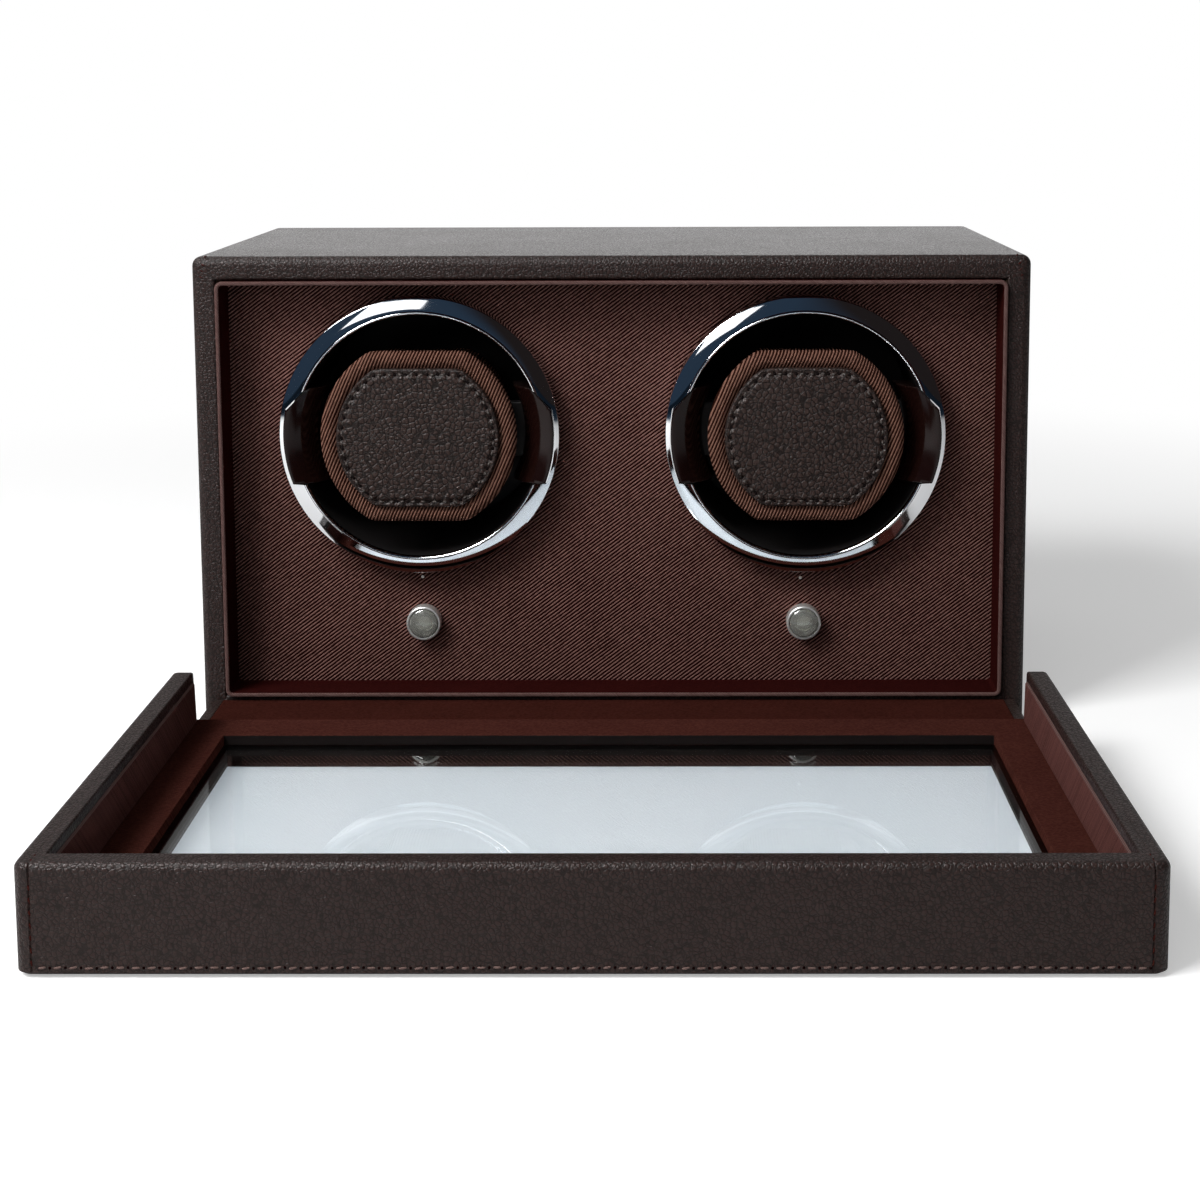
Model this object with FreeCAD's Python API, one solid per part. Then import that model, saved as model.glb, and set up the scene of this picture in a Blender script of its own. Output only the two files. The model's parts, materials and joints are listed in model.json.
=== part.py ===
import FreeCAD, Part
import math
import os

# A two-module watch winder: a leather covered case with two turning drums, each with a
# removable cuff, and a glazed cover that folds down in front of the case.
# All sizes are in millimetres. X is to the right, Y is to the back, Z is up.
# The origin is the centre of the case's footprint, on the surface that it stands on.

V = FreeCAD.Vector

# How far a cutting tool reaches past what it cuts
overcut = 1.0
# Two places closer than this are the same
same_place = 0.1

# Case
case_width = 265.0
case_edge_round = 3.0
board_thickness = 6.5
leather_thickness = 1.2
border_leather_thickness = 1.6
rear_board_thickness = 5.0
base_sheet_thickness = 1.2
skin_floor_gap = 0.4
base_sheet_inset = 2.0

# Recess in the case's front
recess_depth = 12.0
collar_thickness = 1.3
collar_proud = 2.0
collar_corner_round = 2.0
panel_thickness = 4.0
twill_thickness = 0.8

# Cover that folds down in front of the case
cover_depth = 27.5
cover_closing_gap = 0.3
cover_wall_board = 4.2
cover_wall_lining = 1.9
cover_turn_in_height = 1.5
cover_edge_round = 2.5
cover_corner_round = 3.5
cover_frame_board = 4.0
cover_inner_board = 5.3
cover_frame_lining = 1.0
glass_thickness = 3.0
glass_clearance = 0.3
glass_edge_cover = 2.5
side_band = 17.5
hinge_band = 20.0
outer_window_margin = 1.5
wall_end_back_low = 6.6
wall_end_back_high = 9.6
frame_hinge_gap = 0.2

# Spine between the case and the cover
spine_board_thickness = 4.1
spine_lining_thickness = 1.0
spine_inset = 3.3
spine_strip_width = 3.2
fold_gap = 0.1
spine_case_gap = 0.2

# Magnets that hold the cover shut
magnet_radius = 2.0
magnet_length = 3.0
magnet_spacing = 180.0
magnet_cover_skin = 0.3

# Winder modules
module_spacing = 124.0
module_top_clearance = 0.6
button_strip_height = 34.0
ring_overhang = 3.5
ring_height = 8.2
ring_panel_gap = 0.8
ring_bead_width = 1.3
ring_bead_height = 0.6
ring_band_drop = 3.7
ring_band_bulge = 0.9
ring_socket_depth = 5.2
drum_radius = 41.5
drum_wall = 2.2
drum_length = 52.0
drum_rear_wall = 2.5
drum_boss_radius = 8.0
drum_boss_length = 4.5
drum_hole_clearance = 0.8
housing_gap = 1.0
housing_wall = 2.0
housing_rear_gap = 2.0
housing_rear_wall = 3.0
flange_width = 5.5
flange_thickness = 3.0
post_radius = 4.0
post_circle_radius = 38.0
post_length = 15.0
plate_thickness = 3.0
plate_half_width = 33.0
plate_boss_radius = 8.0
plate_boss_extra = 1.5
plate_corner_round = 5.0

# Spindle and its bushes
spindle_radius = 3.0
bush_radius = 4.5
bush_length = 6.0
running_clearance = 0.04
spindle_tail = 1.0
spindle_head_depth = 1.0

# Gears between the motor and the drum
gear_module = 1.0
drum_gear_teeth = 60
pinion_teeth = 12
gear_width = 5.0
gear_wall_gap = 4.0
gear_hub_radius = 6.0
gear_hub_length = 2.0
gear_backlash = 0.16
gear_centre_clearance = 0.08
gear_root_share = 1.25
pressure_angle = math.radians(20.0)

# Gear motor
gearbox_radius = 12.0
gearbox_length = 14.0
motor_radius = 10.0
motor_length = 16.0
motor_shaft_radius = 1.5
motor_shaft_grip = 4.0
shaft_tip_gap = 0.3
motor_terminal_size = (2.0, 0.6, 3.0)
motor_terminal_spacing = 10.0
wiring_gap = 5.8
motor_screw_spacing = 17.0
pinion_plate_clearance = 1.0

# Screws of the modules, all alike
screw_radius = 1.5
screw_head_radius = 2.6
screw_head_height = 1.6
screw_length = 5.4
screw_hole_clearance = 0.1
screw_tip_gap = 0.2
fit_clearance = 0.05
flange_screw_setback = 2.8

# Cuff
cuff_half_width = 31.6
cuff_half_height = 27.7
cuff_depth = 34.0
cuff_corner_round = 4.5
cuff_proud_of_ring = 1.8
cuff_crown = 0.8
cuff_waist = 0.7
cuff_crown_inset = 9.0
cuff_shoulder = ((0.0, 3.4), (1.3, 1.2), (4.0, 0.0))
pad_half_width = 25.9
pad_half_height = 22.1
pad_corner_round = 3.5
pad_proud = 1.3
pad_sunk = 1.0
pad_groove = 0.4
pad_shoulder = ((1.0, 0.0), (0.35, 0.7), (0.0, 3.0))
wing_half_height = 15.4
wing_chamfer = 7.8
wing_rim_overhang = 1.8
wing_rim_width = 0.9
wing_lip_thickness = 2.2
wing_leg_thickness = 2.6
wing_proud = 0.4
wing_scoop_width = 2.0
wing_scoop_depth = 1.3
wing_clearance = 0.3
leg_clearance = 0.8
bar_half_height = 9.0
bar_thickness = 4.0
bar_setback = 15.5
cuff_travel = 16.0

# Push buttons with a light inside
button_rise_share = 0.6265
button_lens_radius = 4.6
button_lens_bore = 2.7
button_cap_thickness = 2.2
button_dome = 0.8
button_proud = 5.2
button_collar_radius = 5.6
button_collar_length = 1.0
button_travel = 1.2
button_end_gap = 0.3
button_stop_gap = 0.1
bezel_radius = 5.6
bezel_sleeve_radius = 5.2
bezel_front_below_lens = 1.2
bezel_edge_round = 0.5
led_radius = 2.2
led_cap_gap = 1.9
switch_size = 12.0
switch_thickness = 4.4
switch_bore_radius = 3.0

# Control board
control_board_length = 160.0
control_board_height = 20.0
control_board_thickness = 1.6
control_board_behind_panel = 8.2
standoff_radius = 2.5
standoff_outer_distance = 14.0
standoff_inner_distance = 16.0
board_screw_radius = 1.2
board_screw_head_radius = 2.2
board_screw_head_height = 1.4
board_screw_length = 6.0
chip_places = ((-20.0, 10.0), (8.0, 14.0), (30.0, 6.0))
chip_thickness = 1.8
chip_height = 8.0

# Power inlet in the rear
inlet_place_x = 0.0
inlet_place_z = 32.0
inlet_nut_radius = 5.5
inlet_nut_thickness = 1.6
inlet_barrel_radius = 4.0
inlet_bore_radius = 2.75
inlet_bore_depth = 9.5
inlet_pin_radius = 1.0
inlet_pin_length = 8.0
inlet_body_size = 12.0
inlet_body_length = 8.0

# Places that follow from the sizes. The case is as high and as deep as its modules need.
half_width = case_width / 2
border_width = leather_thickness + board_thickness
motor_terminal_length = motor_terminal_size[2]
drum_setback = drum_length - ring_panel_gap - ring_socket_depth
drum_bore_radius = drum_radius - drum_wall
panel_hole_radius = drum_radius + drum_hole_clearance
housing_bore_radius = drum_radius + housing_gap
housing_radius = housing_bore_radius + housing_wall
flange_radius = housing_radius + flange_width
flange_screw_circle = housing_radius + flange_screw_setback
ring_radius = drum_radius + ring_overhang
ring_bore_radius = drum_bore_radius
wing_rim_radius = drum_radius + wing_rim_overhang
drive_length = housing_rear_gap + housing_rear_wall + post_length + plate_thickness
motor_whole_length = gearbox_length + motor_length + motor_terminal_length
rear_thickness = rear_board_thickness + leather_thickness
case_depth = recess_depth + drum_setback + drive_length + motor_whole_length + wiring_gap + rear_thickness
case_height = 2 * border_width + 2 * flange_radius + module_top_clearance + button_strip_height
module_height = case_height - border_width - module_top_clearance - flange_radius
button_height = border_width + button_rise_share * button_strip_height
front_y = -case_depth / 2
back_y = case_depth / 2
collar_x = half_width - border_width
collar_low = border_width
collar_high = case_height - border_width
panel_y = front_y + recess_depth
panel_board_y = panel_y + twill_thickness
panel_rear_y = panel_board_y + panel_thickness
rear_inside_y = back_y - rear_thickness
hinge_y = front_y - cover_depth
spine_top = leather_thickness + spine_board_thickness + spine_lining_thickness
frame_start = spine_top + frame_hinge_gap
frame_middle_z = leather_thickness + cover_frame_board
frame_board_top = frame_middle_z + cover_inner_board
frame_top = frame_board_top + cover_frame_lining
wall_top = cover_depth - cover_closing_gap
wall_board_out = half_width - leather_thickness
wall_board_in = wall_board_out - cover_wall_board
wall_turn_in = wall_board_in - leather_thickness
wall_lining_in = wall_board_in - cover_wall_lining
turn_in_low = wall_top - leather_thickness - cover_turn_in_height
window_x = half_width - side_band
window_near = hinge_band
window_far = case_height - side_band
module_x = module_spacing / 2
ring_front_y = panel_y - ring_height
ring_rear_y = panel_y - ring_panel_gap
drum_front_y = ring_rear_y - ring_socket_depth
drum_rear_y = drum_front_y + drum_length
housing_wall_y = drum_rear_y + housing_rear_gap
housing_rear_y = housing_wall_y + housing_rear_wall
gear_y = housing_rear_y + gear_wall_gap + gear_hub_length
plate_y = housing_rear_y + post_length
plate_rear_y = plate_y + plate_thickness
gear_pitch_radius = gear_module * drum_gear_teeth / 2
pinion_pitch_radius = gear_module * pinion_teeth / 2
gear_centre_distance = gear_pitch_radius + pinion_pitch_radius + gear_centre_clearance
motor_z = module_height - gear_centre_distance
button_x = module_x
lens_front_y = panel_y - button_proud
lens_collar_y = panel_rear_y + button_stop_gap
lens_rear_y = lens_collar_y + button_collar_length
switch_front_y = lens_rear_y + button_travel + button_end_gap
board_y = switch_front_y + switch_thickness
standoff_outer_x = button_x + standoff_outer_distance
standoff_inner_x = button_x - standoff_inner_distance
standoff_places = (-standoff_outer_x, -standoff_inner_x, standoff_inner_x, standoff_outer_x)


# Building blocks

def block(x0, x1, y0, y1, z0, z1):
    return Part.makeBox(x1 - x0, y1 - y0, z1 - z0, V(x0, y0, z0))


def rod(x, z, radius, y0, y1):
    return Part.makeCylinder(radius, y1 - y0, V(x, y0, z), V(0, 1, 0))


def tube(x, z, radius, bore, y0, y1):
    return rod(x, z, radius, y0, y1).cut(rod(x, z, bore, y0 - overcut, y1 + overcut))


def fused(shapes):
    whole = shapes[0]
    for shape in shapes[1:]:
        whole = whole.fuse(shape)
    return whole.removeSplitter()


def rounded(shape, radius, wanted):
    edges = [edge for edge in shape.Edges if wanted(edge)]
    return shape.makeFillet(radius, edges)


def edge_runs(edge, axis):
    ends = edge.Vertexes
    step = ends[-1].Point.sub(ends[0].Point)
    sizes = {"x": abs(step.x), "y": abs(step.y), "z": abs(step.z)}
    return sizes[axis] > 0.99 * step.Length


def edge_middle(edge):
    return edge.BoundBox.Center


def turned(profile, x, z):
    # A closed profile of edges in radius and y, turned about a module's axis
    face = Part.Face(Part.Wire(profile))
    solid = face.revolve(V(0, 0, 0), V(0, 1, 0), 360)
    solid.translate(V(x, 0, z))
    return solid


def line(a, b):
    return Part.LineSegment(V(a[0], a[1], 0), V(b[0], b[1], 0)).toShape()


def arc(a, b, c):
    return Part.Arc(V(a[0], a[1], 0), V(b[0], b[1], 0), V(c[0], c[1], 0)).toShape()


def prism_y(points, y0, y1):
    # A straight-sided outline in x and z, drawn out along y
    corners = [V(x, y0, z) for x, z in points]
    corners.append(corners[0])
    return Part.Face(Part.makePolygon(corners)).extrude(V(0, y1 - y0, 0))


def prism_x(points, x0, x1):
    # A straight-sided outline in y and z, drawn out along x
    corners = [V(x0, y, z) for y, z in points]
    corners.append(corners[0])
    return Part.Face(Part.makePolygon(corners)).extrude(V(x1 - x0, 0, 0))


parts = {}


def keep(name, shape):
    parts[name] = shape


# Case: boards, leather, base sheet

def case_block(inset, front_inset, back_inset, radius):
    shape = block(-half_width + inset, half_width - inset,
                  front_y + front_inset, back_y - back_inset,
                  inset, case_height - inset)
    high = case_height / 2

    def outer_edge(edge):
        middle = edge_middle(edge)
        upright = edge_runs(edge, "z")
        top = middle.z > high and not upright
        return upright or top
    return rounded(shape, radius, outer_edge)


core_round = case_edge_round - leather_thickness
outer_case = case_block(0, 0, 0, case_edge_round)
core = case_block(leather_thickness, border_leather_thickness, leather_thickness, core_round)
core_front_y = front_y + border_leather_thickness
case_inside = block(-collar_x, collar_x, front_y - overcut, rear_inside_y, collar_low, collar_high)
border_cut = block(-half_width, half_width, front_y - overcut, core_front_y, -overcut, case_height + overcut)
floor_cut = block(-half_width, half_width, front_y - overcut, back_y + overcut, -overcut, skin_floor_gap)
bottom_cut = block(-half_width + leather_thickness, half_width - leather_thickness,
                   front_y + border_leather_thickness, back_y - leather_thickness,
                   -overcut, leather_thickness)
inlet_hole = rod(inlet_place_x, inlet_place_z, inlet_barrel_radius, rear_inside_y - overcut, back_y + overcut)

case_skin = outer_case.cut(core).cut(floor_cut).cut(bottom_cut)
keep("case_leather", case_skin.cut(border_cut).cut(inlet_hole))
border_leather = outer_case.common(border_cut).cut(floor_cut).cut(case_inside)
keep("front_border_leather", border_leather)

above = block(-half_width, half_width, front_y, back_y, collar_high, case_height)
below = block(-half_width, half_width, front_y, back_y, 0, collar_low)
left_of = block(-half_width, -collar_x, front_y, rear_inside_y, collar_low, collar_high)
right_of = block(collar_x, half_width, front_y, rear_inside_y, collar_low, collar_high)
behind = block(-half_width, half_width, rear_inside_y, back_y, collar_low, collar_high)

magnet_y = core_front_y + magnet_cover_skin
magnet_z = (collar_high + case_height - leather_thickness) / 2
magnets = [rod(side * magnet_spacing / 2, magnet_z, magnet_radius, magnet_y, magnet_y + magnet_length)
           for side in (-1, 1)]
keep("case_magnets", Part.Compound(magnets))
keep("case_top_board", core.common(above).cut(Part.Compound(magnets)))
keep("case_bottom_board", core.common(below))
keep("case_left_board", core.common(left_of))
keep("case_right_board", core.common(right_of))
keep("case_rear_board", core.common(behind).cut(inlet_hole))

sheet_x = half_width - base_sheet_inset
base_sheet = block(-sheet_x, sheet_x, front_y + base_sheet_inset, back_y - base_sheet_inset,
                   0, base_sheet_thickness)
keep("base_sheet", base_sheet)

# Recess: collar, front panel with its cloth, battens behind it

collar_y = front_y - collar_proud


def collar_block(inset, y0, y1, radius):
    shape = block(-collar_x + inset, collar_x - inset, y0, y1, collar_low + inset, collar_high - inset)
    return rounded(shape, radius, lambda edge: edge_runs(edge, "y"))


collar_bore = collar_block(collar_thickness, collar_y - overcut, panel_y + overcut,
                           collar_corner_round)
collar_outside = block(-collar_x, collar_x, collar_y, panel_y, collar_low, collar_high)
collar_corner = collar_block(0, collar_y - overcut, front_y, collar_corner_round + collar_thickness)
collar_lip = block(-collar_x, collar_x, collar_y, front_y, collar_low, collar_high).common(collar_corner)
collar_rest = block(-collar_x, collar_x, front_y, panel_y, collar_low, collar_high)
keep("recess_collar", fused([collar_lip, collar_rest]).cut(collar_bore))

sides = {"left": -1, "right": 1}
module_places = [side * module_x for side in sides.values()]
bezel_hole_radius = bezel_sleeve_radius + fit_clearance


def panel_holes(y0, y1):
    holes = [rod(x, module_height, panel_hole_radius, y0 - overcut, y1 + overcut) for x in module_places]
    holes += [rod(x, button_height, bezel_hole_radius, y0 - overcut, y1 + overcut) for x in module_places]
    return Part.Compound(holes)


def ring_of(radius, count, first):
    # Places on a circle, as x and z from its centre
    angles = [math.radians(first + 360.0 * n / count) for n in range(count)]
    return [(radius * math.cos(a), radius * math.sin(a)) for a in angles]


screw_hole_radius = screw_radius + screw_hole_clearance
flange_rear_y = panel_rear_y + flange_thickness
flange_screw_tip = flange_rear_y - screw_length
standoff_bore = board_screw_radius + fit_clearance
flange_screw_holes = []
for place in module_places:
    for dx, dz in ring_of(flange_screw_circle, 4, 45):
        flange_screw_holes.append(rod(place + dx, module_height + dz, screw_hole_radius,
                                      flange_screw_tip, flange_rear_y + overcut))

panel_board = block(-collar_x, collar_x, panel_board_y, panel_rear_y, collar_low, collar_high)
panel_board = panel_board.cut(panel_holes(panel_board_y, panel_rear_y))
keep("front_panel", panel_board.cut(Part.Compound(flange_screw_holes)))
panel_cloth = block(-collar_x, collar_x, panel_y, panel_board_y, collar_low, collar_high)
keep("panel_twill", panel_cloth.cut(panel_holes(panel_y, panel_board_y)))

# Spine: leather below and round its ends, board, lining cloth above

spine_x = half_width - spine_inset
spine_lining_x = spine_x - spine_strip_width
spine_case_y = front_y - spine_case_gap
spine_board_top = spine_top - spine_lining_thickness
fold_y = hinge_y + fold_gap
mitre_y = fold_y + leather_thickness
spine_board = block(-spine_x + leather_thickness, spine_x - leather_thickness, mitre_y, spine_case_y,
                    leather_thickness, spine_board_top)
hinge_lining = block(-spine_lining_x, spine_lining_x, mitre_y, spine_case_y, spine_board_top, spine_top)
spine_outline = [(fold_y, 0), (spine_case_y, 0), (spine_case_y, spine_top), (mitre_y, spine_top),
                 (mitre_y, leather_thickness)]
spine_leather = prism_x(spine_outline, -spine_x, spine_x)
keep("spine_leather", spine_leather.cut(spine_board).cut(hinge_lining))
keep("spine_board", spine_board)
keep("hinge_lining", hinge_lining)

# Cover: it lies open in front of the case. Lengths in it run forward from the hinge line.


def run(length):
    return hinge_y - length


def cover_box(half, near, far, z0, z1):
    return block(-half, half, run(far), run(near), z0, z1)


def cover_outside():
    shape = cover_box(half_width, 0, case_height, 0, wall_top)
    far_y = run(case_height)
    shape = rounded(shape, cover_corner_round,
                    lambda edge: edge_runs(edge, "z") and abs(edge_middle(edge).y - far_y) < same_place)

    def rim_edge(edge):
        middle = edge_middle(edge)
        level = edge.BoundBox.ZLength < same_place
        return level and middle.y < hinge_y - same_place
    return rounded(shape, cover_edge_round, rim_edge)


def wall_end_cut(extra):
    # Removes the hinge end of the side walls behind a slanted line
    low = run(wall_end_back_low + extra)
    high = run(wall_end_back_high + extra)
    behind = hinge_y + overcut
    above_wall = wall_top + overcut
    outline = [(low, leather_thickness), (high, above_wall), (behind, above_wall),
               (behind, leather_thickness)]
    return prism_x(outline, -half_width - overcut, half_width + overcut)


def three_walls(outer, inner, far_outer, far_inner, z0, z1):
    whole = cover_box(outer, -overcut, far_outer, z0, z1)
    return whole.cut(cover_box(inner, -2 * overcut, far_inner, z0 - overcut, z1 + overcut))


def far(inset_x):
    # The far wall's face that matches a side wall's face at inset_x
    return case_height - (half_width - inset_x)


outside = cover_outside()
face_window_x = window_x - outer_window_margin
face_window_near = window_near + outer_window_margin
face_window_far = window_far - outer_window_margin
face_window = cover_box(face_window_x, face_window_near, face_window_far, -overcut, frame_middle_z + overcut)
mitre_outline = [(run(fold_gap), -overcut), (run(fold_gap), 0),
                 (run(fold_gap + leather_thickness), leather_thickness),
                 (hinge_y + overcut, leather_thickness), (hinge_y + overcut, -overcut)]
mitre_cut = prism_x(mitre_outline, -half_width - overcut, half_width + overcut)
cover_face = outside.common(cover_box(half_width, -overcut, case_height, -overcut, leather_thickness))
keep("cover_face_leather", cover_face.cut(face_window).cut(mitre_cut))

wall_boards = three_walls(wall_board_out, wall_board_in, far(wall_board_out), far(wall_board_in),
                          leather_thickness, wall_top - leather_thickness)
wall_boards = rounded(wall_boards, cover_corner_round - leather_thickness,
                      lambda edge: edge_runs(edge, "z")
                      and abs(edge_middle(edge).y - run(far(wall_board_out))) < same_place
                      and abs(abs(edge_middle(edge).x) - wall_board_out) < same_place)
wall_boards = wall_boards.cut(wall_end_cut(leather_thickness))
lining_space = three_walls(wall_board_in, wall_turn_in, far(wall_board_in), far(wall_turn_in),
                           leather_thickness, turn_in_low)
wall_skin = outside.common(three_walls(half_width, wall_turn_in, case_height, far(wall_turn_in),
                                       leather_thickness, wall_top))
wall_skin = wall_skin.cut(wall_end_cut(0)).cut(wall_boards).cut(lining_space)
keep("cover_wall_leather", wall_skin)

cover_magnet_z = wall_top - leather_thickness - magnet_cover_skin
cover_magnet_y = run((far(wall_board_out) + far(wall_board_in)) / 2)
cover_magnets = [Part.makeCylinder(magnet_radius, magnet_length,
                                   V(side * magnet_spacing / 2, cover_magnet_y,
                                     cover_magnet_z - magnet_length))
                 for side in (-1, 1)]
keep("cover_magnets", Part.Compound(cover_magnets))
side_wall_part = cover_box(half_width, -overcut, far(wall_board_in), 0, wall_top)
far_wall_part = cover_box(half_width, far(wall_board_in), case_height, 0, wall_top)
keep("cover_side_boards", wall_boards.common(side_wall_part))
keep("cover_far_board", wall_boards.common(far_wall_part).cut(Part.Compound(cover_magnets)))

wall_lining = three_walls(wall_board_in, wall_lining_in, far(wall_board_in), far(wall_lining_in),
                          frame_top, turn_in_low)
keep("cover_wall_lining", wall_lining.cut(wall_end_cut(leather_thickness)))

frame_far = far(wall_board_in)
outer_frame = cover_box(wall_board_in, frame_start, frame_far, leather_thickness, frame_middle_z)
keep("cover_outer_frame", outer_frame.cut(face_window))
glass_x = window_x + glass_edge_cover
glass_near = window_near - glass_edge_cover
glass_far = window_far + glass_edge_cover
glass_top = frame_middle_z + glass_thickness
keep("glass_pane", cover_box(glass_x, glass_near, glass_far, frame_middle_z, glass_top))
rebate = cover_box(glass_x + glass_clearance, glass_near - glass_clearance,
                   glass_far + glass_clearance, frame_middle_z - overcut, glass_top + glass_clearance)
window = cover_box(window_x, window_near, window_far, frame_middle_z - overcut, frame_top + overcut)
inner_frame = cover_box(wall_board_in, frame_start, frame_far, frame_middle_z, frame_board_top)
keep("cover_inner_frame", inner_frame.cut(rebate).cut(window))
frame_lining = cover_box(wall_board_in, frame_start, frame_far, frame_board_top, frame_top)
keep("cover_frame_lining", frame_lining.cut(window))

# Winder modules


def gear_outline(teeth, bore_x, bore_z, turn):
    # Toothed outline about a centre, with involute flanks drawn through a few points
    pitch = gear_module * teeth / 2
    base = pitch * math.cos(pressure_angle)
    tip = pitch + gear_module
    root = pitch - gear_root_share * gear_module
    half = math.pi / (2 * teeth) - gear_backlash / (2 * pitch)

    def roll(radius):
        if radius <= base:
            return 0.0
        angle = math.acos(base / radius)
        return math.tan(angle) - angle

    points = []
    for n in range(teeth):
        middle = turn + 2 * math.pi * n / teeth
        for side, radii in ((-1, (root, pitch, tip)), (1, (tip, pitch, root))):
            for radius in radii:
                spread = half + roll(pitch) - roll(radius)
                angle = middle + side * spread
                points.append((bore_x + radius * math.cos(angle), bore_z + radius * math.sin(angle)))
    return points


def wing_prism(clearance, y0, y1):
    # The wings' outline seen from the front, both sides, with the upper corners cut off
    top = wing_half_height + clearance
    reach = wing_rim_radius + clearance
    cut = wing_chamfer
    inner = reach - wing_rim_radius / 2
    past = reach + 3 * overcut
    outline = [(inner, -top), (past, -top), (past, top - cut - 3 * overcut), (reach - cut, top),
               (inner, top)]
    right_wing = prism_y(outline, y0, y1)
    left_wing = prism_y([(-x, z) for x, z in outline], y0, y1)
    return right_wing.fuse(left_wing)


def chrome_ring():
    inner = ring_bore_radius
    bead = inner + ring_bead_width
    valley_y = ring_front_y + ring_bead_height
    edge_y = ring_front_y + ring_band_drop
    profile = [
        line((drum_radius, ring_rear_y), (drum_radius, drum_front_y)),
        line((drum_radius, drum_front_y), (inner, drum_front_y)),
        line((inner, drum_front_y), (inner, valley_y)),
        arc((inner, valley_y), ((inner + bead) / 2, ring_front_y), (bead, valley_y)),
        arc((bead, valley_y), ((bead + ring_radius) / 2, (valley_y + edge_y) / 2 - ring_band_bulge),
            (ring_radius, edge_y)),
        line((ring_radius, edge_y), (ring_radius, ring_rear_y)),
        line((ring_radius, ring_rear_y), (drum_radius, ring_rear_y)),
    ]
    whole = turned(profile, 0, 0)
    notch_floor = drum_front_y
    notch = wing_prism(wing_clearance, ring_front_y - overcut, notch_floor)
    reach = rod(0, 0, wing_rim_radius + wing_clearance, ring_front_y - overcut, notch_floor)
    return whole.cut(notch.common(reach))


def drum():
    cup = rod(0, 0, drum_radius, drum_front_y, drum_rear_y)
    cup = cup.cut(rod(0, 0, drum_bore_radius, drum_front_y - overcut, drum_rear_y - drum_rear_wall))
    boss = rod(0, 0, drum_boss_radius, drum_rear_y - drum_rear_wall - drum_boss_length, drum_rear_y)
    return fused([cup, boss]).cut(rod(0, 0, spindle_radius, spindle_front_y, drum_rear_y + overcut))


spindle_front_y = drum_rear_y - drum_rear_wall - drum_boss_length + spindle_head_depth
rear_bush_y = plate_y - plate_boss_extra
spindle_rear_y = rear_bush_y + bush_length + spindle_tail


def drum_gear():
    wheel = prism_y(gear_outline(drum_gear_teeth, 0, 0, -math.pi / 2), gear_y, gear_y + gear_width)
    hub = rod(0, 0, gear_hub_radius, gear_y - gear_hub_length, gear_y + gear_width)
    bore = rod(0, 0, spindle_radius, gear_y - gear_hub_length - overcut, gear_y + gear_width + overcut)
    return fused([wheel, hub]).cut(bore)


shaft_tip_y = plate_rear_y + motor_shaft_grip


def pinion():
    turn = math.pi / 2 + math.pi / pinion_teeth
    wheel = prism_y(gear_outline(pinion_teeth, 0, -gear_centre_distance, turn),
                    gear_y, gear_y + gear_width)
    shaft = rod(0, -gear_centre_distance, motor_shaft_radius, gear_y, shaft_tip_y)
    return fused([wheel, shaft])


def housing():
    shell = tube(0, 0, housing_radius, housing_bore_radius, panel_rear_y, housing_rear_y)
    flange = tube(0, 0, flange_radius, housing_bore_radius, panel_rear_y, flange_rear_y)
    rear = rod(0, 0, housing_radius, housing_wall_y, housing_rear_y)
    boss = rod(0, 0, plate_boss_radius, housing_wall_y, housing_wall_y + bush_length)
    posts = [rod(dx, dz, post_radius, housing_wall_y, plate_y)
             for dx, dz in ring_of(post_circle_radius, 4, 45)]
    body = fused([shell, flange, rear, boss] + posts)
    body = body.cut(rod(0, 0, bush_radius, housing_wall_y - overcut, housing_wall_y + bush_length + overcut))
    for dx, dz in ring_of(flange_screw_circle, 4, 45):
        body = body.cut(rod(dx, dz, screw_hole_radius, panel_rear_y - overcut, flange_rear_y + overcut))
    for dx, dz in ring_of(post_circle_radius, 4, 45):
        body = body.cut(rod(dx, dz, screw_hole_radius, plate_rear_y - screw_length, plate_y + overcut))
    return body


def motor_plate():
    low = -gear_centre_distance - gearbox_radius
    high = plate_half_width
    plate = block(-plate_half_width, plate_half_width, plate_y, plate_rear_y, low, high)
    plate = rounded(plate, plate_corner_round, lambda edge: edge_runs(edge, "y"))
    boss = rod(0, 0, plate_boss_radius, rear_bush_y, rear_bush_y + bush_length)
    bush_hole = rod(0, 0, bush_radius, rear_bush_y - overcut, rear_bush_y + bush_length + overcut)
    plate = fused([plate, boss]).cut(bush_hole)
    shaft_hole = motor_shaft_radius + pinion_plate_clearance
    plate = plate.cut(rod(0, -gear_centre_distance, shaft_hole, plate_y - overcut, plate_rear_y + overcut))
    for dx, dz in ring_of(post_circle_radius, 4, 45):
        plate = plate.cut(rod(dx, dz, screw_hole_radius, plate_y - overcut, plate_rear_y + overcut))
    for dx in motor_screw_places:
        plate = plate.cut(rod(dx, -gear_centre_distance, screw_hole_radius,
                              plate_y - overcut, plate_rear_y + overcut))
    return plate


motor_screw_places = (-motor_screw_spacing / 2, motor_screw_spacing / 2)


def gear_motor():
    z = -gear_centre_distance
    gearbox = rod(0, z, gearbox_radius, plate_rear_y, plate_rear_y + gearbox_length)
    can_rear = plate_rear_y + gearbox_length + motor_length
    can = rod(0, z, motor_radius, plate_rear_y, can_rear)
    width, thickness, length = motor_terminal_size
    tabs = [block(side * motor_terminal_spacing / 2 - thickness / 2,
                  side * motor_terminal_spacing / 2 + thickness / 2,
                  can_rear - overcut, can_rear + length, z - width / 2, z + width / 2)
            for side in (-1, 1)]
    body = fused([gearbox, can] + tabs)
    shaft_bore = motor_shaft_radius + running_clearance
    body = body.cut(rod(0, z, shaft_bore, plate_rear_y - overcut, shaft_tip_y + shaft_tip_gap))
    for dx in motor_screw_places:
        body = body.cut(rod(dx, z, screw_hole_radius, plate_rear_y - overcut,
                            plate_y + screw_length + screw_tip_gap))
    return body


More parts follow.
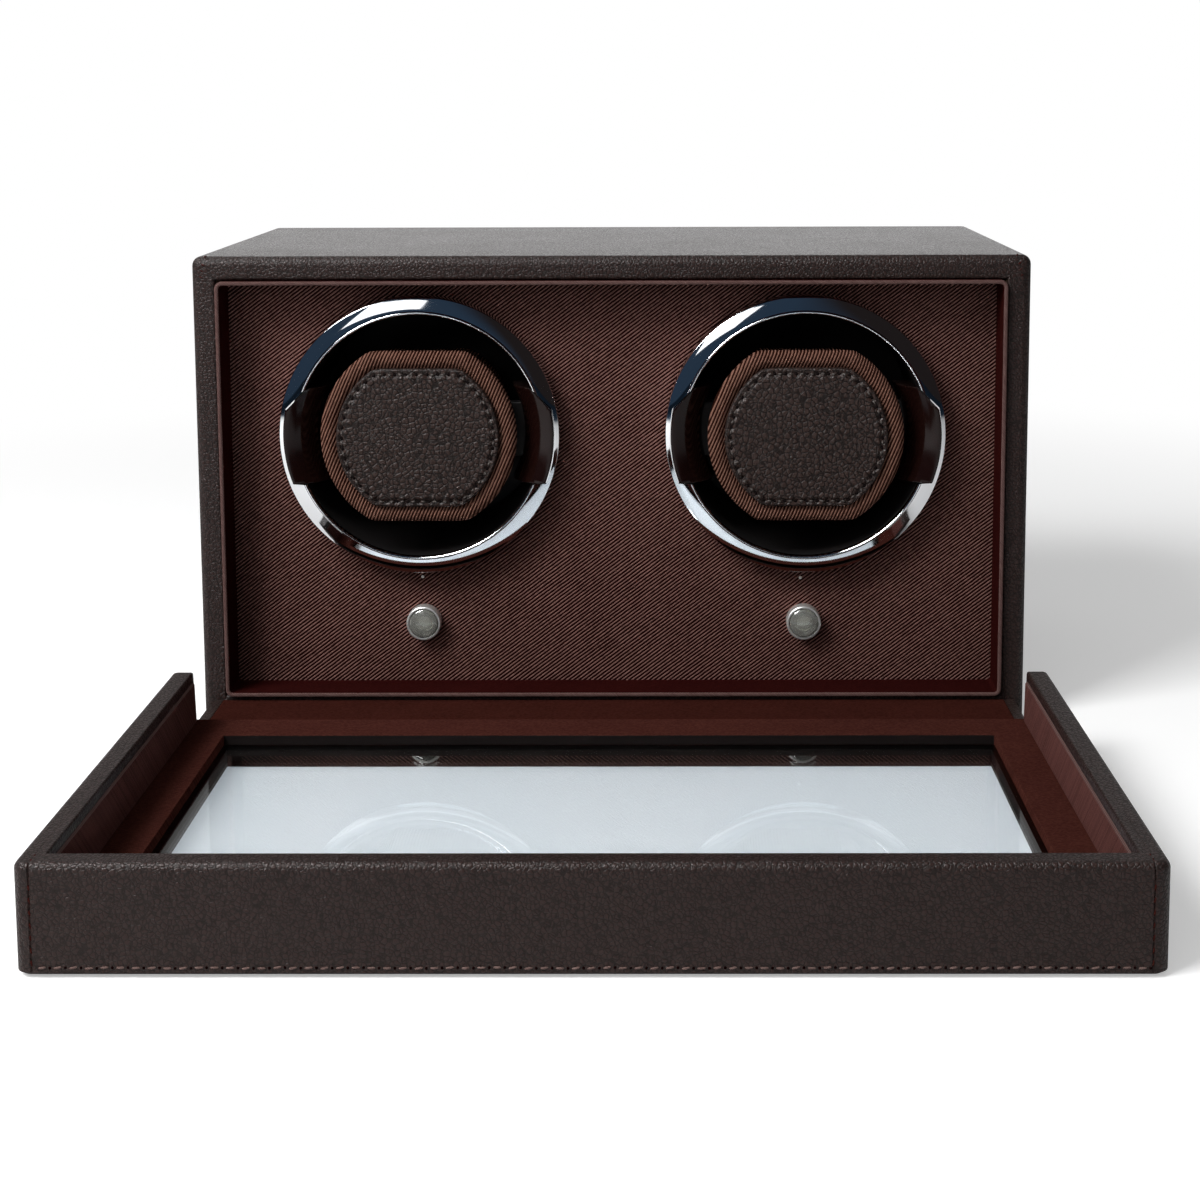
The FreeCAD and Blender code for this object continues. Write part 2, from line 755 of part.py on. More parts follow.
def screw(x, z, head_face_y, direction):
    # A pan head screw whose head rests on a face; its shank runs along direction
    head_ends = sorted((head_face_y, head_face_y - direction * screw_head_height))
    shank_ends = sorted((head_face_y, head_face_y + direction * screw_length))
    head = rod(x, z, screw_head_radius, head_ends[0], head_ends[1])
    return fused([head, rod(x, z, screw_radius, shank_ends[0], shank_ends[1])])


def bush(y0):
    return tube(0, 0, bush_radius, spindle_radius + running_clearance, y0, y0 + bush_length)


# Cuff: cushion, pad, and the frame whose wings seat in the ring


def clipped_circle(half_width_here, half_height_here, corner, y):
    # A circle cut by a flat above and below, with rounded corners, at one depth
    radius = half_width_here
    inner_z = half_height_here - corner
    inner_x = math.sqrt((radius - corner) ** 2 - inner_z ** 2)
    reach = radius / (radius - corner)
    corner_x, corner_z = inner_x * reach, inner_z * reach
    bisector = math.atan2(half_height_here - inner_z, 0.0)
    side = math.atan2(corner_z - inner_z, corner_x - inner_x)
    middle = (bisector + side) / 2
    mid_x = inner_x + corner * math.cos(middle)
    mid_z = inner_z + corner * math.sin(middle)

    def at(x, z):
        return V(x, y, z)
    edges = [
        Part.LineSegment(at(-inner_x, half_height_here), at(inner_x, half_height_here)),
        Part.Arc(at(inner_x, half_height_here), at(mid_x, mid_z), at(corner_x, corner_z)),
        Part.Arc(at(corner_x, corner_z), at(radius, 0), at(corner_x, -corner_z)),
        Part.Arc(at(corner_x, -corner_z), at(mid_x, -mid_z), at(inner_x, -half_height_here)),
        Part.LineSegment(at(inner_x, -half_height_here), at(-inner_x, -half_height_here)),
        Part.Arc(at(-inner_x, -half_height_here), at(-mid_x, -mid_z), at(-corner_x, -corner_z)),
        Part.Arc(at(-corner_x, -corner_z), at(-radius, 0), at(-corner_x, corner_z)),
        Part.Arc(at(-corner_x, corner_z), at(-mid_x, mid_z), at(-inner_x, half_height_here)),
    ]
    return Part.Wire([edge.toShape() for edge in edges])


cushion_front_y = ring_front_y - cuff_proud_of_ring
cushion_rear_y = cushion_front_y + cuff_depth
bar_y = cushion_front_y + bar_setback


def cushion():
    # Crowned front and back, rounded shoulders and a waist drawn in half way back
    front_half = [(0, cuff_crown_inset)]
    front_half += [(cuff_crown + depth, inset) for depth, inset in cuff_shoulder]
    rear_half = [(cuff_depth - depth, inset) for depth, inset in reversed(front_half)]
    stations = front_half + [(cuff_depth / 2, cuff_waist)] + rear_half
    wires = [clipped_circle(cuff_half_width - inset, cuff_half_height - inset,
                            cuff_corner_round, cushion_front_y + back)
             for back, inset in stations]
    body = Part.makeLoft(wires, True, False)
    slot = block(-cuff_half_width - overcut, cuff_half_width + overcut, bar_y, bar_y + bar_thickness,
                 -bar_half_height, bar_half_height)
    seat_wire = clipped_circle(pad_half_width + pad_groove, pad_half_height + pad_groove,
                               pad_corner_round + pad_groove, cushion_front_y - overcut)
    seat = Part.Face(seat_wire).extrude(V(0, overcut + cuff_crown + pad_sunk, 0))
    return body.cut(slot).cut(seat)


def pad():
    rear = cushion_front_y + cuff_crown + pad_sunk
    front = cushion_front_y - pad_proud
    stations = [(rear - front, 0.0)] + list(pad_shoulder)
    wires = [clipped_circle(pad_half_width - inset, pad_half_height - inset, pad_corner_round, front + depth)
             for depth, inset in stations]
    return Part.makeLoft(wires, True, False)


wing_front_y = ring_front_y - wing_proud
wing_lip_rear_y = wing_front_y + wing_lip_thickness
leg_outer = drum_bore_radius - leg_clearance
leg_inner = leg_outer - wing_leg_thickness


def cuff_wings():
    rim = wing_rim_radius - wing_rim_width
    inner = leg_inner + wing_scoop_width
    profile = [
        line((wing_rim_radius, wing_front_y), (wing_rim_radius, wing_lip_rear_y)),
        line((wing_rim_radius, wing_lip_rear_y), (leg_inner, wing_lip_rear_y)),
        arc((leg_inner, wing_lip_rear_y), (inner, wing_lip_rear_y - wing_scoop_depth), (rim, wing_front_y)),
        line((rim, wing_front_y), (wing_rim_radius, wing_front_y)),
    ]
    return turned(profile, 0, 0).common(wing_prism(0, wing_front_y - overcut, wing_lip_rear_y + overcut))


def cuff_frame():
    back = bar_y + bar_thickness
    legs = tube(0, 0, leg_outer, leg_inner, wing_lip_rear_y, back)
    legs = legs.common(wing_prism(0, wing_lip_rear_y - overcut, back + overcut))
    reach = leg_inner + wing_leg_thickness / 2
    bar = block(-reach, reach, bar_y, back, -bar_half_height, bar_half_height)
    return fused([legs, bar])


# Push button lens


def lens(x):
    shell = tube(x, button_height, button_lens_radius, button_lens_bore,
                 lens_front_y + button_dome, lens_rear_y)
    cap = rod(x, button_height, button_lens_radius, lens_front_y + button_dome,
              lens_front_y + button_dome + button_cap_thickness)
    dome_radius = (button_lens_radius ** 2 + button_dome ** 2) / (2 * button_dome)
    ball = Part.makeSphere(dome_radius, V(x, lens_front_y + dome_radius, button_height))
    slab = rod(x, button_height, button_lens_radius, lens_front_y - overcut, lens_front_y + button_dome)
    collar = tube(x, button_height, button_collar_radius, button_lens_bore, lens_collar_y, lens_rear_y)
    return fused([shell, cap, ball.common(slab), collar])


def bezel(x):
    bore = button_lens_radius + running_clearance
    front = lens_front_y + bezel_front_below_lens
    head = rod(x, button_height, bezel_radius, front, panel_y)
    head = rounded(head, bezel_edge_round, lambda edge: abs(edge_middle(edge).y - front) < same_place)
    sleeve = rod(x, button_height, bezel_sleeve_radius, panel_y, panel_rear_y)
    return fused([head, sleeve]).cut(rod(x, button_height, bore, front - overcut, panel_rear_y + overcut))


def placed(shape, x, z):
    moved = shape.copy()
    moved.translate(V(x, 0, z))
    return moved


module_screws = []
bushes = []
bezels = []
switches = []
leds = []
for side, sign in sides.items():
    x = sign * module_x
    keep(side + "_housing", placed(housing(), x, module_height))
    keep(side + "_motor_plate", placed(motor_plate(), x, module_height))
    keep(side + "_gear_motor", placed(gear_motor(), x, module_height))
    keep(side + "_drum", placed(drum(), x, module_height))
    keep(side + "_chrome_ring", placed(chrome_ring(), x, module_height))
    keep(side + "_spindle", rod(x, module_height, spindle_radius, spindle_front_y, spindle_rear_y))
    keep(side + "_drum_gear", placed(drum_gear(), x, module_height))
    keep(side + "_pinion", placed(pinion(), x, module_height))
    keep(side + "_cuff_frame", placed(cuff_frame(), x, module_height))
    keep(side + "_cuff_wings", placed(cuff_wings(), x, module_height))
    keep(side + "_cuff_cushion", placed(cushion(), x, module_height))
    keep(side + "_cuff_pad", placed(pad(), x, module_height))
    keep(side + "_button_lens", lens(sign * button_x))
    for dx, dz in ring_of(flange_screw_circle, 4, 45):
        module_screws.append(screw(x + dx, module_height + dz, flange_rear_y, -1))
    for dx, dz in ring_of(post_circle_radius, 4, 45):
        module_screws.append(screw(x + dx, module_height + dz, plate_rear_y, -1))
    for dx in motor_screw_places:
        module_screws.append(screw(x + dx, motor_z, plate_y, 1))
    bushes.append(placed(bush(housing_wall_y), x, module_height))
    bushes.append(placed(bush(rear_bush_y), x, module_height))
    bezels.append(bezel(x))
    switch = block(x - switch_size / 2, x + switch_size / 2, switch_front_y, board_y,
                   button_height - switch_size / 2, button_height + switch_size / 2)
    switch_bore = rod(x, button_height, switch_bore_radius, switch_front_y - overcut, board_y + overcut)
    switches.append(switch.cut(switch_bore))
    led_front = lens_front_y + button_dome + button_cap_thickness + led_cap_gap
    led_body = rod(x, button_height, led_radius, led_front + led_radius, board_y)
    led_tip = Part.makeSphere(led_radius, V(x, led_front + led_radius, button_height))
    leds.append(fused([led_body, led_tip]))

keep("module_screws", Part.Compound(module_screws))
keep("spindle_bushes", Part.Compound(bushes))
keep("button_bezels", Part.Compound(bezels))
keep("button_switches", Part.Compound(switches))
keep("button_leds", Part.Compound(leds))

# Control board on its standoffs behind the panel

board_rear_y = board_y + control_board_thickness
board_low = button_height - control_board_height / 2
board_high = button_height + control_board_height / 2
control_board = block(-control_board_length / 2, control_board_length / 2, board_y, board_rear_y,
                      board_low, board_high)
chips = [block(x, x + width, board_rear_y, board_rear_y + chip_thickness,
               button_height - chip_height / 2, button_height + chip_height / 2)
         for x, width in chip_places]
control_board = fused([control_board] + chips)
board_tip_y = board_rear_y - board_screw_length
standoffs = []
board_screws = []
for x in standoff_places:
    hole = rod(x, button_height, standoff_bore, board_tip_y - screw_tip_gap, board_rear_y + overcut)
    control_board = control_board.cut(hole)
    standoffs.append(rod(x, button_height, standoff_radius, panel_rear_y, board_y).cut(hole))
    head = rod(x, button_height, board_screw_head_radius, board_rear_y,
               board_rear_y + board_screw_head_height)
    board_screws.append(fused([head, rod(x, button_height, board_screw_radius, board_tip_y, board_rear_y)]))
keep("control_board", control_board)
keep("board_standoffs", Part.Compound(standoffs))
keep("board_screws", Part.Compound(board_screws))

# Power inlet


def power_inlet():
    x, z = inlet_place_x, inlet_place_z
    face_y = back_y + inlet_nut_thickness
    nut = rod(x, z, inlet_nut_radius, back_y, face_y)
    barrel = rod(x, z, inlet_barrel_radius, rear_inside_y - overcut, face_y)
    half = inlet_body_size / 2
    body = block(x - half, x + half, rear_inside_y - inlet_body_length, rear_inside_y, z - half, z + half)
    pin_front = face_y - inlet_bore_depth
    whole = fused([nut, barrel, body]).cut(rod(x, z, inlet_bore_radius, pin_front, face_y + overcut))
    return whole.fuse(rod(x, z, inlet_pin_radius, pin_front, pin_front + inlet_pin_length))


keep("power_inlet", power_inlet())

os.makedirs("parts", exist_ok=True)
for name, shape in parts.items():
    shape.exportStep("parts/" + name + ".step")
print(len(parts), "parts")
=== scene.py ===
# Watch winder with two drums: leather, cloth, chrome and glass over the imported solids.
# Sizes are in millimetres and are turned into metres where a piece is made.
import bpy
import bmesh
import json
import math
import random
from mathutils import Matrix, Vector


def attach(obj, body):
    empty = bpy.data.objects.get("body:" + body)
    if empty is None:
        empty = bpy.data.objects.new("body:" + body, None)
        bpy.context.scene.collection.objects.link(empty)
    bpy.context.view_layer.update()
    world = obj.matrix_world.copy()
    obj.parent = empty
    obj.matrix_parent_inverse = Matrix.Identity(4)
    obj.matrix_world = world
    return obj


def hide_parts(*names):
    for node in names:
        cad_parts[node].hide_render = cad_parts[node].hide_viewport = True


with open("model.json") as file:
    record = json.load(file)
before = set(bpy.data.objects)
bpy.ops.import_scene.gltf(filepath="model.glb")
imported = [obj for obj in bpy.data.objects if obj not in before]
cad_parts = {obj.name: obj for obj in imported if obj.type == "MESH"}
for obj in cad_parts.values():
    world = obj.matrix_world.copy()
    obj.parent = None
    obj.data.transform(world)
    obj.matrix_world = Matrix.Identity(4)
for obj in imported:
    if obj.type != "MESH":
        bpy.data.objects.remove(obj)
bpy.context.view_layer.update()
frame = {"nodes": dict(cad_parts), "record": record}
random.seed(5)
mm = 0.001
scene = bpy.context.scene
print("frame loaded,", len(frame["nodes"]), "nodes")


# Small helpers for modelling

def clearAll():
    if bpy.context.object and bpy.context.object.mode != "OBJECT":
        bpy.ops.object.mode_set(mode="OBJECT")
    bpy.ops.object.select_all(action="DESELECT")


def takeUp(piece):
    clearAll()
    piece.select_set(True)
    bpy.context.view_layer.objects.active = piece


def settle(name):
    piece = bpy.context.object
    piece.name = name
    piece.data.name = name
    bpy.ops.object.transform_apply(location=True, rotation=True, scale=True)
    return piece


def newBlock(name, low, high):
    clearAll()
    middle = [(a + b) / 2 * mm for a, b in zip(low, high)]
    sides = [(b - a) * mm for a, b in zip(low, high)]
    bpy.ops.mesh.primitive_cube_add(size=1, location=middle, scale=sides)
    return settle(name)


def newRod(name, x, z, radius, front, back, sides=64):
    clearAll()
    bpy.ops.mesh.primitive_cylinder_add(vertices=sides, radius=radius * mm, depth=(back - front) * mm,
                                        location=(x * mm, (front + back) / 2 * mm, z * mm),
                                        rotation=(math.radians(90), 0, 0))
    return settle(name)


def openUp(piece):
    takeUp(piece)
    bpy.ops.object.mode_set(mode="EDIT")


def closeUp():
    bpy.ops.object.mode_set(mode="OBJECT")


def middle(part):
    if hasattr(part, "calc_center_median"):
        return part.calc_center_median() / mm
    return sum((v.co for v in part.verts), Vector()) / len(part.verts) / mm


def runs(edge, axis):
    step = edge.verts[1].co - edge.verts[0].co
    return abs(step["xyz".index(axis)]) > 0.99 * step.length


def pick(piece, kind, wanted):
    # Selects vertices, edges or faces by their place or normal
    bpy.ops.mesh.select_mode(type=kind)
    bpy.ops.mesh.select_all(action="DESELECT")
    shape = bmesh.from_edit_mesh(piece.data)
    for part in {"VERT": shape.verts, "EDGE": shape.edges, "FACE": shape.faces}[kind]:
        if wanted(part):
            part.select_set(True)
    shape.select_flush_mode()
    bmesh.update_edit_mesh(piece.data)


def pickAll():
    bpy.ops.mesh.select_all(action="SELECT")


def bevelPicked(width, segments):
    bpy.ops.mesh.bevel(offset=width * mm, segments=segments, affect="EDGES")


def sliceOff(piece, place, facing, fill=True):
    # Cuts away what lies on the facing side of a plane
    openUp(piece)
    pickAll()
    bpy.ops.mesh.bisect(plane_co=Vector(place) * mm, plane_no=Vector(facing).normalized(), use_fill=fill,
                        clear_outer=True)
    closeUp()


def work(piece, kind, **settings):
    takeUp(piece)
    step = piece.modifiers.new("work", kind)
    for key, value in settings.items():
        setattr(step, key, value)
    bpy.ops.object.modifier_apply(modifier=step.name)


def cutWith(piece, tool):
    work(piece, "BOOLEAN", operation="DIFFERENCE", object=tool, solver="EXACT")
    bpy.data.objects.remove(tool)


def softenEdges(piece, width, segments=3, angle=50):
    work(piece, "BEVEL", width=width * mm, segments=segments, limit_method="ANGLE",
         angle_limit=math.radians(angle), miter_outer="MITER_ARC")


def smooth(piece, angle=40, weighted=True):
    takeUp(piece)
    bpy.ops.object.shade_smooth_by_angle(angle=math.radians(angle))
    if weighted:
        work(piece, "WEIGHTED_NORMAL", keep_sharp=True)


def joinAll(name, pieces):
    clearAll()
    for piece in pieces:
        piece.select_set(True)
    bpy.context.view_layer.objects.active = pieces[0]
    bpy.ops.object.join()
    pieces[0].name = name
    pieces[0].data.name = name
    return pieces[0]


def copyTo(piece, name, shift, turn=Matrix()):
    # A copy with its own mesh, turned about the origin and then moved
    twin = piece.copy()
    twin.data = piece.data.copy()
    twin.name = name
    twin.data.name = name
    scene.collection.objects.link(twin)
    twin.data.transform(Matrix.Translation(Vector(shift) * mm) @ turn)
    return twin


def newTurned(name, points, steps, closed=True):
    # A chain of points in radius and depth, extruded one by one and spun about the winding axis
    clearAll()
    bpy.ops.mesh.primitive_plane_add(size=mm)
    piece = settle(name)
    openUp(piece)
    bpy.ops.mesh.select_mode(type="VERT")
    pickAll()
    bpy.ops.mesh.merge(type="CENTER")
    bpy.ops.transform.translate(value=(points[0][0] * mm, points[0][1] * mm, 0))
    for a, b in zip(points, points[1:]):
        bpy.ops.mesh.extrude_vertices_move(
            TRANSFORM_OT_translate={"value": ((b[0] - a[0]) * mm, (b[1] - a[1]) * mm, 0)})
    if closed:
        first, last = Vector((*points[0], 0)), Vector((*points[-1], 0))
        pick(piece, "VERT", lambda v: min((v.co / mm - first).length, (v.co / mm - last).length) < 1e-3)
        bpy.ops.mesh.edge_face_add()
    pickAll()
    bpy.ops.mesh.spin(steps=steps, angle=2 * math.pi, center=(0, 0, 0), axis=(0, 1, 0))
    pickAll()
    bpy.ops.mesh.remove_doubles(threshold=1e-6)
    bpy.ops.mesh.normals_make_consistent(inside=False)
    closeUp()
    return piece


def bow(a, b, rise, count):
    # Points from a to b on a curve that stands out by rise on its left
    step = Vector(b) - Vector(a)
    side = Vector((step.y, -step.x)).normalized()
    return [tuple(Vector(a) + step * (n / count) + side * rise * 4 * (n / count) * (1 - n / count))
            for n in range(count + 1)]


def paintFaces(piece, material, wanted):
    # A second finish on the faces that are wanted
    piece.data.materials.append(material)
    number = len(piece.data.materials) - 1
    for face in piece.data.polygons:
        if wanted(face.center / mm, face.normal):
            face.material_index = number


def finish(piece, body, material, slotName, *nodes):
    piece.data.materials.clear()
    piece.data.materials.append(material)
    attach(piece, body)
    if nodes:
        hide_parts(*nodes)
    return piece


# Small helpers for shader nodes

def addNode(tree, kind, operation=None, **values):
    node = tree.nodes.new(kind)
    if operation:
        node.operation = operation
    for key, value in values.items():
        setattr(node, key, value)
    return node


def calc(tree, operation, a, b=None, c=None):
    node = addNode(tree, "ShaderNodeMath", operation)
    for socket, value in zip(node.inputs, (a, b, c)):
        if value is None:
            continue
        if isinstance(value, (int, float)):
            socket.default_value = value
        else:
            tree.links.new(value, socket)
    return node.outputs[0]


def mixColours(tree, factor, a, b):
    node = addNode(tree, "ShaderNodeMix", data_type="RGBA")
    for socket, value in zip((node.inputs["Factor"], node.inputs["A"], node.inputs["B"]), (factor, a, b)):
        if isinstance(value, (int, float)):
            socket.default_value = value
        elif isinstance(value, tuple):
            socket.default_value = (*value, 1)
        else:
            tree.links.new(value, socket)
    return node.outputs["Result"]


def noise(tree, vector, scale, detail=2.0, rough=0.5):
    node = addNode(tree, "ShaderNodeTexNoise")
    tree.links.new(vector, node.inputs["Vector"])
    if isinstance(scale, (int, float)):
        node.inputs["Scale"].default_value = scale
    else:
        tree.links.new(scale, node.inputs["Scale"])
    node.inputs["Detail"].default_value = detail
    node.inputs["Roughness"].default_value = rough
    return node.outputs["Fac"]


def stretch(tree, value, low, high):
    # 0 at low and 1 at high, smooth between
    node = addNode(tree, "ShaderNodeMapRange", interpolation_type="SMOOTHSTEP")
    tree.links.new(value, node.inputs["Value"])
    node.inputs["From Min"].default_value = low
    node.inputs["From Max"].default_value = high
    return node.outputs["Result"]


def newFinish(name, **shaderValues):
    material = bpy.data.materials.new(name)
    material.use_nodes = True
    tree = material.node_tree
    shader = tree.nodes["Principled BSDF"]
    for key, value in shaderValues.items():
        shader.inputs[key.replace("_", " ")].default_value = value
    place = tree.nodes.new("ShaderNodeTexCoord").outputs["Object"]
    return material, tree, shader, place


# Camera

cameraSetup = {"place": (0.0176, -0.6478, 0.2024), "pitch": 0.113, "yaw": -0.006, "roll": -0.003,
               "lens": 56.03, "shiftX": -0.0464, "shiftY": -0.25}


def addCamera(setup):
    lens = bpy.data.cameras.new("camera")
    lens.sensor_width = 36
    lens.lens = setup["lens"]
    lens.shift_x = setup["shiftX"]
    lens.shift_y = setup["shiftY"]
    eye = bpy.data.objects.new("camera", lens)
    scene.collection.objects.link(eye)
    pitch, yaw, roll = setup["pitch"], setup["yaw"], setup["roll"]
    forward = Vector((math.sin(yaw) * math.cos(pitch), math.cos(yaw) * math.cos(pitch), -math.sin(pitch)))
    right = Vector((math.cos(yaw), -math.sin(yaw), 0))
    up = right.cross(forward)
    across = math.cos(roll) * right + math.sin(roll) * up
    upright = -math.sin(roll) * right + math.cos(roll) * up
    turn = Matrix((across, upright, -forward)).transposed().to_4x4()
    eye.matrix_world = Matrix.Translation(setup["place"]) @ turn
    scene.camera = eye


addCamera(cameraSetup)


# Studio: pale floor, soft lamps, white surroundings

studio = {"floorSize": 9.0, "floorDrop": 0.0002, "floorLit": 0.60, "floorSeen": 0.82, "floorGlow": 0.36,
          "glassGlow": (0.335, 0.37, 0.405), "fadeFrom": 0.24, "fadeTo": 0.62, "skyLight": 0.22,
          "rearGlare": 0.32, "rearAcross": (-0.15, 0.45), "darkFront": (0.020, 0.036, 0.060),
          "darkFrom": -0.62, "darkTo": -0.85, "darkRight": (0.014, 0.011, 0.011),
          "darkAcross": (0.0, 0.30)}

# Places are in metres. A main and a fill lamp light the object. The three cards after them are only
# seen in gloss: one behind for the case's top, one in front for the rings, one overhead for leather
lamps = [{"place": (-0.66, -0.62, 0.88), "aim": (0, -0.1, 0.05), "size": (0.5, 0.5), "power": 14.5,
          "mirrored": True, "lit": True},
         {"place": (-0.45, -1.5, 0.7), "aim": (0, -0.1, 0.05), "size": (1.0, 0.6), "power": 3.4,
          "mirrored": False, "lit": True},
         {"place": (0.0, 0.12, 0.196), "aim": (0, 0, 0.17), "size": (0.42, 0.08), "power": 0.15,
          "mirrored": True, "lit": False},
         {"place": (-0.38, -1.1, 0.61), "aim": (0, -0.06, 0.1), "size": (0.42, 0.42), "power": 0.88,
          "mirrored": True, "lit": False},
         {"place": (-0.50, -0.46, 0.92), "aim": (-0.1, -0.2, 0.05), "size": (0.36, 0.60), "power": 11.5,
          "mirrored": True, "lit": False}]


def grey(level):
    return (level, level, level)


def seenDirectly(tree):
    # 1 for the camera and for what chrome and glass show, 0 for the light on the object
    path = addNode(tree, "ShaderNodeLightPath").outputs
    cameraOrMirror = calc(tree, "MAXIMUM", path["Is Camera Ray"], path["Is Glossy Ray"])
    return calc(tree, "MAXIMUM", cameraOrMirror, path["Is Transmission Ray"])


def addFloor(setup):
    # Lit like grey paper, seen as white paper, and plain white where it runs out to the back
    clearAll()
    bpy.ops.mesh.primitive_plane_add(size=setup["floorSize"], location=(0, 0, -setup["floorDrop"]))
    ground = settle("floor")
    paper, tree, shader, place = newFinish("paleFloor", Roughness=0.9, Specular_IOR_Level=0.0)
    path = addNode(tree, "ShaderNodeLightPath").outputs
    length = addNode(tree, "ShaderNodeVectorMath", "LENGTH")
    tree.links.new(place, length.inputs[0])
    far = stretch(tree, length.outputs["Value"], setup["fadeFrom"], setup["fadeTo"])
    far = calc(tree, "MULTIPLY", far, path["Is Camera Ray"])
    way = addNode(tree, "ShaderNodeSeparateXYZ")
    tree.links.new(place, way.inputs[0])
    inFront = stretch(tree, way.outputs["Y"], setup["darkFrom"], setup["darkTo"])
    inFront = calc(tree, "MULTIPLY", inFront, path["Is Glossy Ray"])
    colour = mixColours(tree, seenDirectly(tree), grey(setup["floorLit"]), grey(setup["floorSeen"]))
    colour = mixColours(tree, inFront, colour, setup["darkFront"])
    glow = mixColours(tree, path["Is Transmission Ray"], grey(setup["floorGlow"]), setup["glassGlow"])
    shown = calc(tree, "MAXIMUM", path["Is Camera Ray"], path["Is Transmission Ray"])
    tree.links.new(mixColours(tree, far, colour, grey(0)), shader.inputs["Base Color"])
    tree.links.new(mixColours(tree, far, glow, grey(1)), shader.inputs["Emission Color"])
    tree.links.new(shown, shader.inputs["Emission Strength"])
    ground.data.materials.append(paper)


def addSurroundings(setup):
    # White behind the object; metal and leather see a dark studio on the camera's side
    world = bpy.data.worlds.new("studio")
    scene.world = world
    world.use_nodes = True
    tree = world.node_tree
    tree.nodes.clear()
    light = addNode(tree, "ShaderNodeBackground")
    way = addNode(tree, "ShaderNodeSeparateXYZ")
    tree.links.new(addNode(tree, "ShaderNodeTexCoord").outputs["Generated"], way.inputs[0])
    behind = stretch(tree, way.outputs["Y"], *setup["rearAcross"])
    right = stretch(tree, way.outputs["X"], *setup["darkAcross"])
    inFront = mixColours(tree, right, setup["darkFront"], setup["darkRight"])
    mirrored = mixColours(tree, behind, inFront, grey(setup["rearGlare"]))
    plain = mixColours(tree, seenDirectly(tree), grey(setup["skyLight"]), grey(1))
    glossy = addNode(tree, "ShaderNodeLightPath").outputs["Is Glossy Ray"]
    tree.links.new(mixColours(tree, glossy, plain, mirrored), light.inputs["Color"])
    tree.links.new(light.outputs[0], addNode(tree, "ShaderNodeOutputWorld").inputs["Surface"])


def addLamp(number, s):
    lamp = bpy.data.lights.new("softLamp%d" % number, "AREA")
    lamp.shape = "RECTANGLE"
    lamp.size, lamp.size_y = s["size"]
    lamp.energy = s["power"]
    holder = bpy.data.objects.new(lamp.name, lamp)
    scene.collection.objects.link(holder)
    holder.location = s["place"]
    holder.visible_glossy = s["mirrored"]
    holder.visible_diffuse = holder.visible_transmission = s["lit"]
    holder.visible_camera = False
    holder.rotation_euler = (Vector(s["aim"]) - Vector(s["place"])).to_track_quat("-Z", "Y").to_euler()


addFloor(studio)
addSurroundings(studio)
for number, lampSetup in enumerate(lamps):
    addLamp(number, lampSetup)
scene.view_settings.view_transform = "Standard"
print("camera, floor and lamps set")


# Node groups shared by the finishes

def newGroup(name, takes, gives):
    group = bpy.data.node_groups.new(name, "ShaderNodeTree")
    for label, kind, value in takes:
        socket = group.interface.new_socket(label, in_out="INPUT", socket_type="NodeSocket" + kind)
        if value is not None:
            socket.default_value = value
    for label, kind in gives:
        group.interface.new_socket(label, in_out="OUTPUT", socket_type="NodeSocket" + kind)
    start = group.nodes.new("NodeGroupInput").outputs
    end = group.nodes.new("NodeGroupOutput").inputs
    return group, start, end


def makeGrainGroup():
    # Pebbled leather: rounded pebbles of uneven size with dark creases between them
    group, take, give = newGroup("leatherGrain", [
        ("Vector", "Vector", None), ("Pebbles per metre", "Float", 900.0), ("Base", "Color", None),
        ("Crease", "Color", None), ("Unevenness", "Float", 0.3)],
        [("Color", "Color"), ("Roughness", "Float"), ("Height", "Float")])
    wobble = addNode(group, "ShaderNodeTexNoise")
    wobble.inputs["Detail"].default_value = 2
    group.links.new(take["Vector"], wobble.inputs["Vector"])
    group.links.new(calc(group, "MULTIPLY", take["Pebbles per metre"], 0.6), wobble.inputs["Scale"])
    shift = addNode(group, "ShaderNodeVectorMath", "SCALE")
    group.links.new(wobble.outputs["Color"], shift.inputs[0])
    shift.inputs["Scale"].default_value = 0.0007
    moved = addNode(group, "ShaderNodeVectorMath", "ADD")
    group.links.new(take["Vector"], moved.inputs[0])
    group.links.new(shift.outputs[0], moved.inputs[1])

    def cells(share, feature):
        node = addNode(group, "ShaderNodeTexVoronoi", feature=feature)
        group.links.new(moved.outputs[0], node.inputs["Vector"])
        group.links.new(calc(group, "MULTIPLY", take["Pebbles per metre"], share), node.inputs["Scale"])
        if feature == "SMOOTH_F1":
            node.inputs["Smoothness"].default_value = 0.4
        return node.outputs["Distance"]

    domes = calc(group, "SUBTRACT", 1.0, cells(1.0, "SMOOTH_F1"))
    creases = stretch(group, cells(1.0, "DISTANCE_TO_EDGE"), 0.0, 0.22)
    fine = stretch(group, cells(2.3, "DISTANCE_TO_EDGE"), 0.0, 0.2)
    pores = noise(group, moved.outputs[0], calc(group, "MULTIPLY", take["Pebbles per metre"], 3.5), 3.0)
    height = calc(group, "MULTIPLY", domes, 0.55)
    height = calc(group, "MULTIPLY_ADD", creases, 0.45, height)
    height = calc(group, "MULTIPLY_ADD", fine, 0.16, height)
    height = calc(group, "MULTIPLY_ADD", pores, 0.10, height)
    group.links.new(height, give["Height"])
    clouds = noise(group, take["Vector"], 38.0, 4.0, 0.6)
    shade = calc(group, "MULTIPLY_ADD", calc(group, "SUBTRACT", clouds, 0.5), take["Unevenness"], creases)
    colour = mixColours(group, stretch(group, shade, 0.0, 1.0), take["Crease"], take["Base"])
    group.links.new(colour, give["Color"])
    rough = calc(group, "MULTIPLY_ADD", creases, -0.16, 0.42)
    group.links.new(calc(group, "MULTIPLY_ADD", clouds, 0.10, rough), give["Roughness"])
    return group


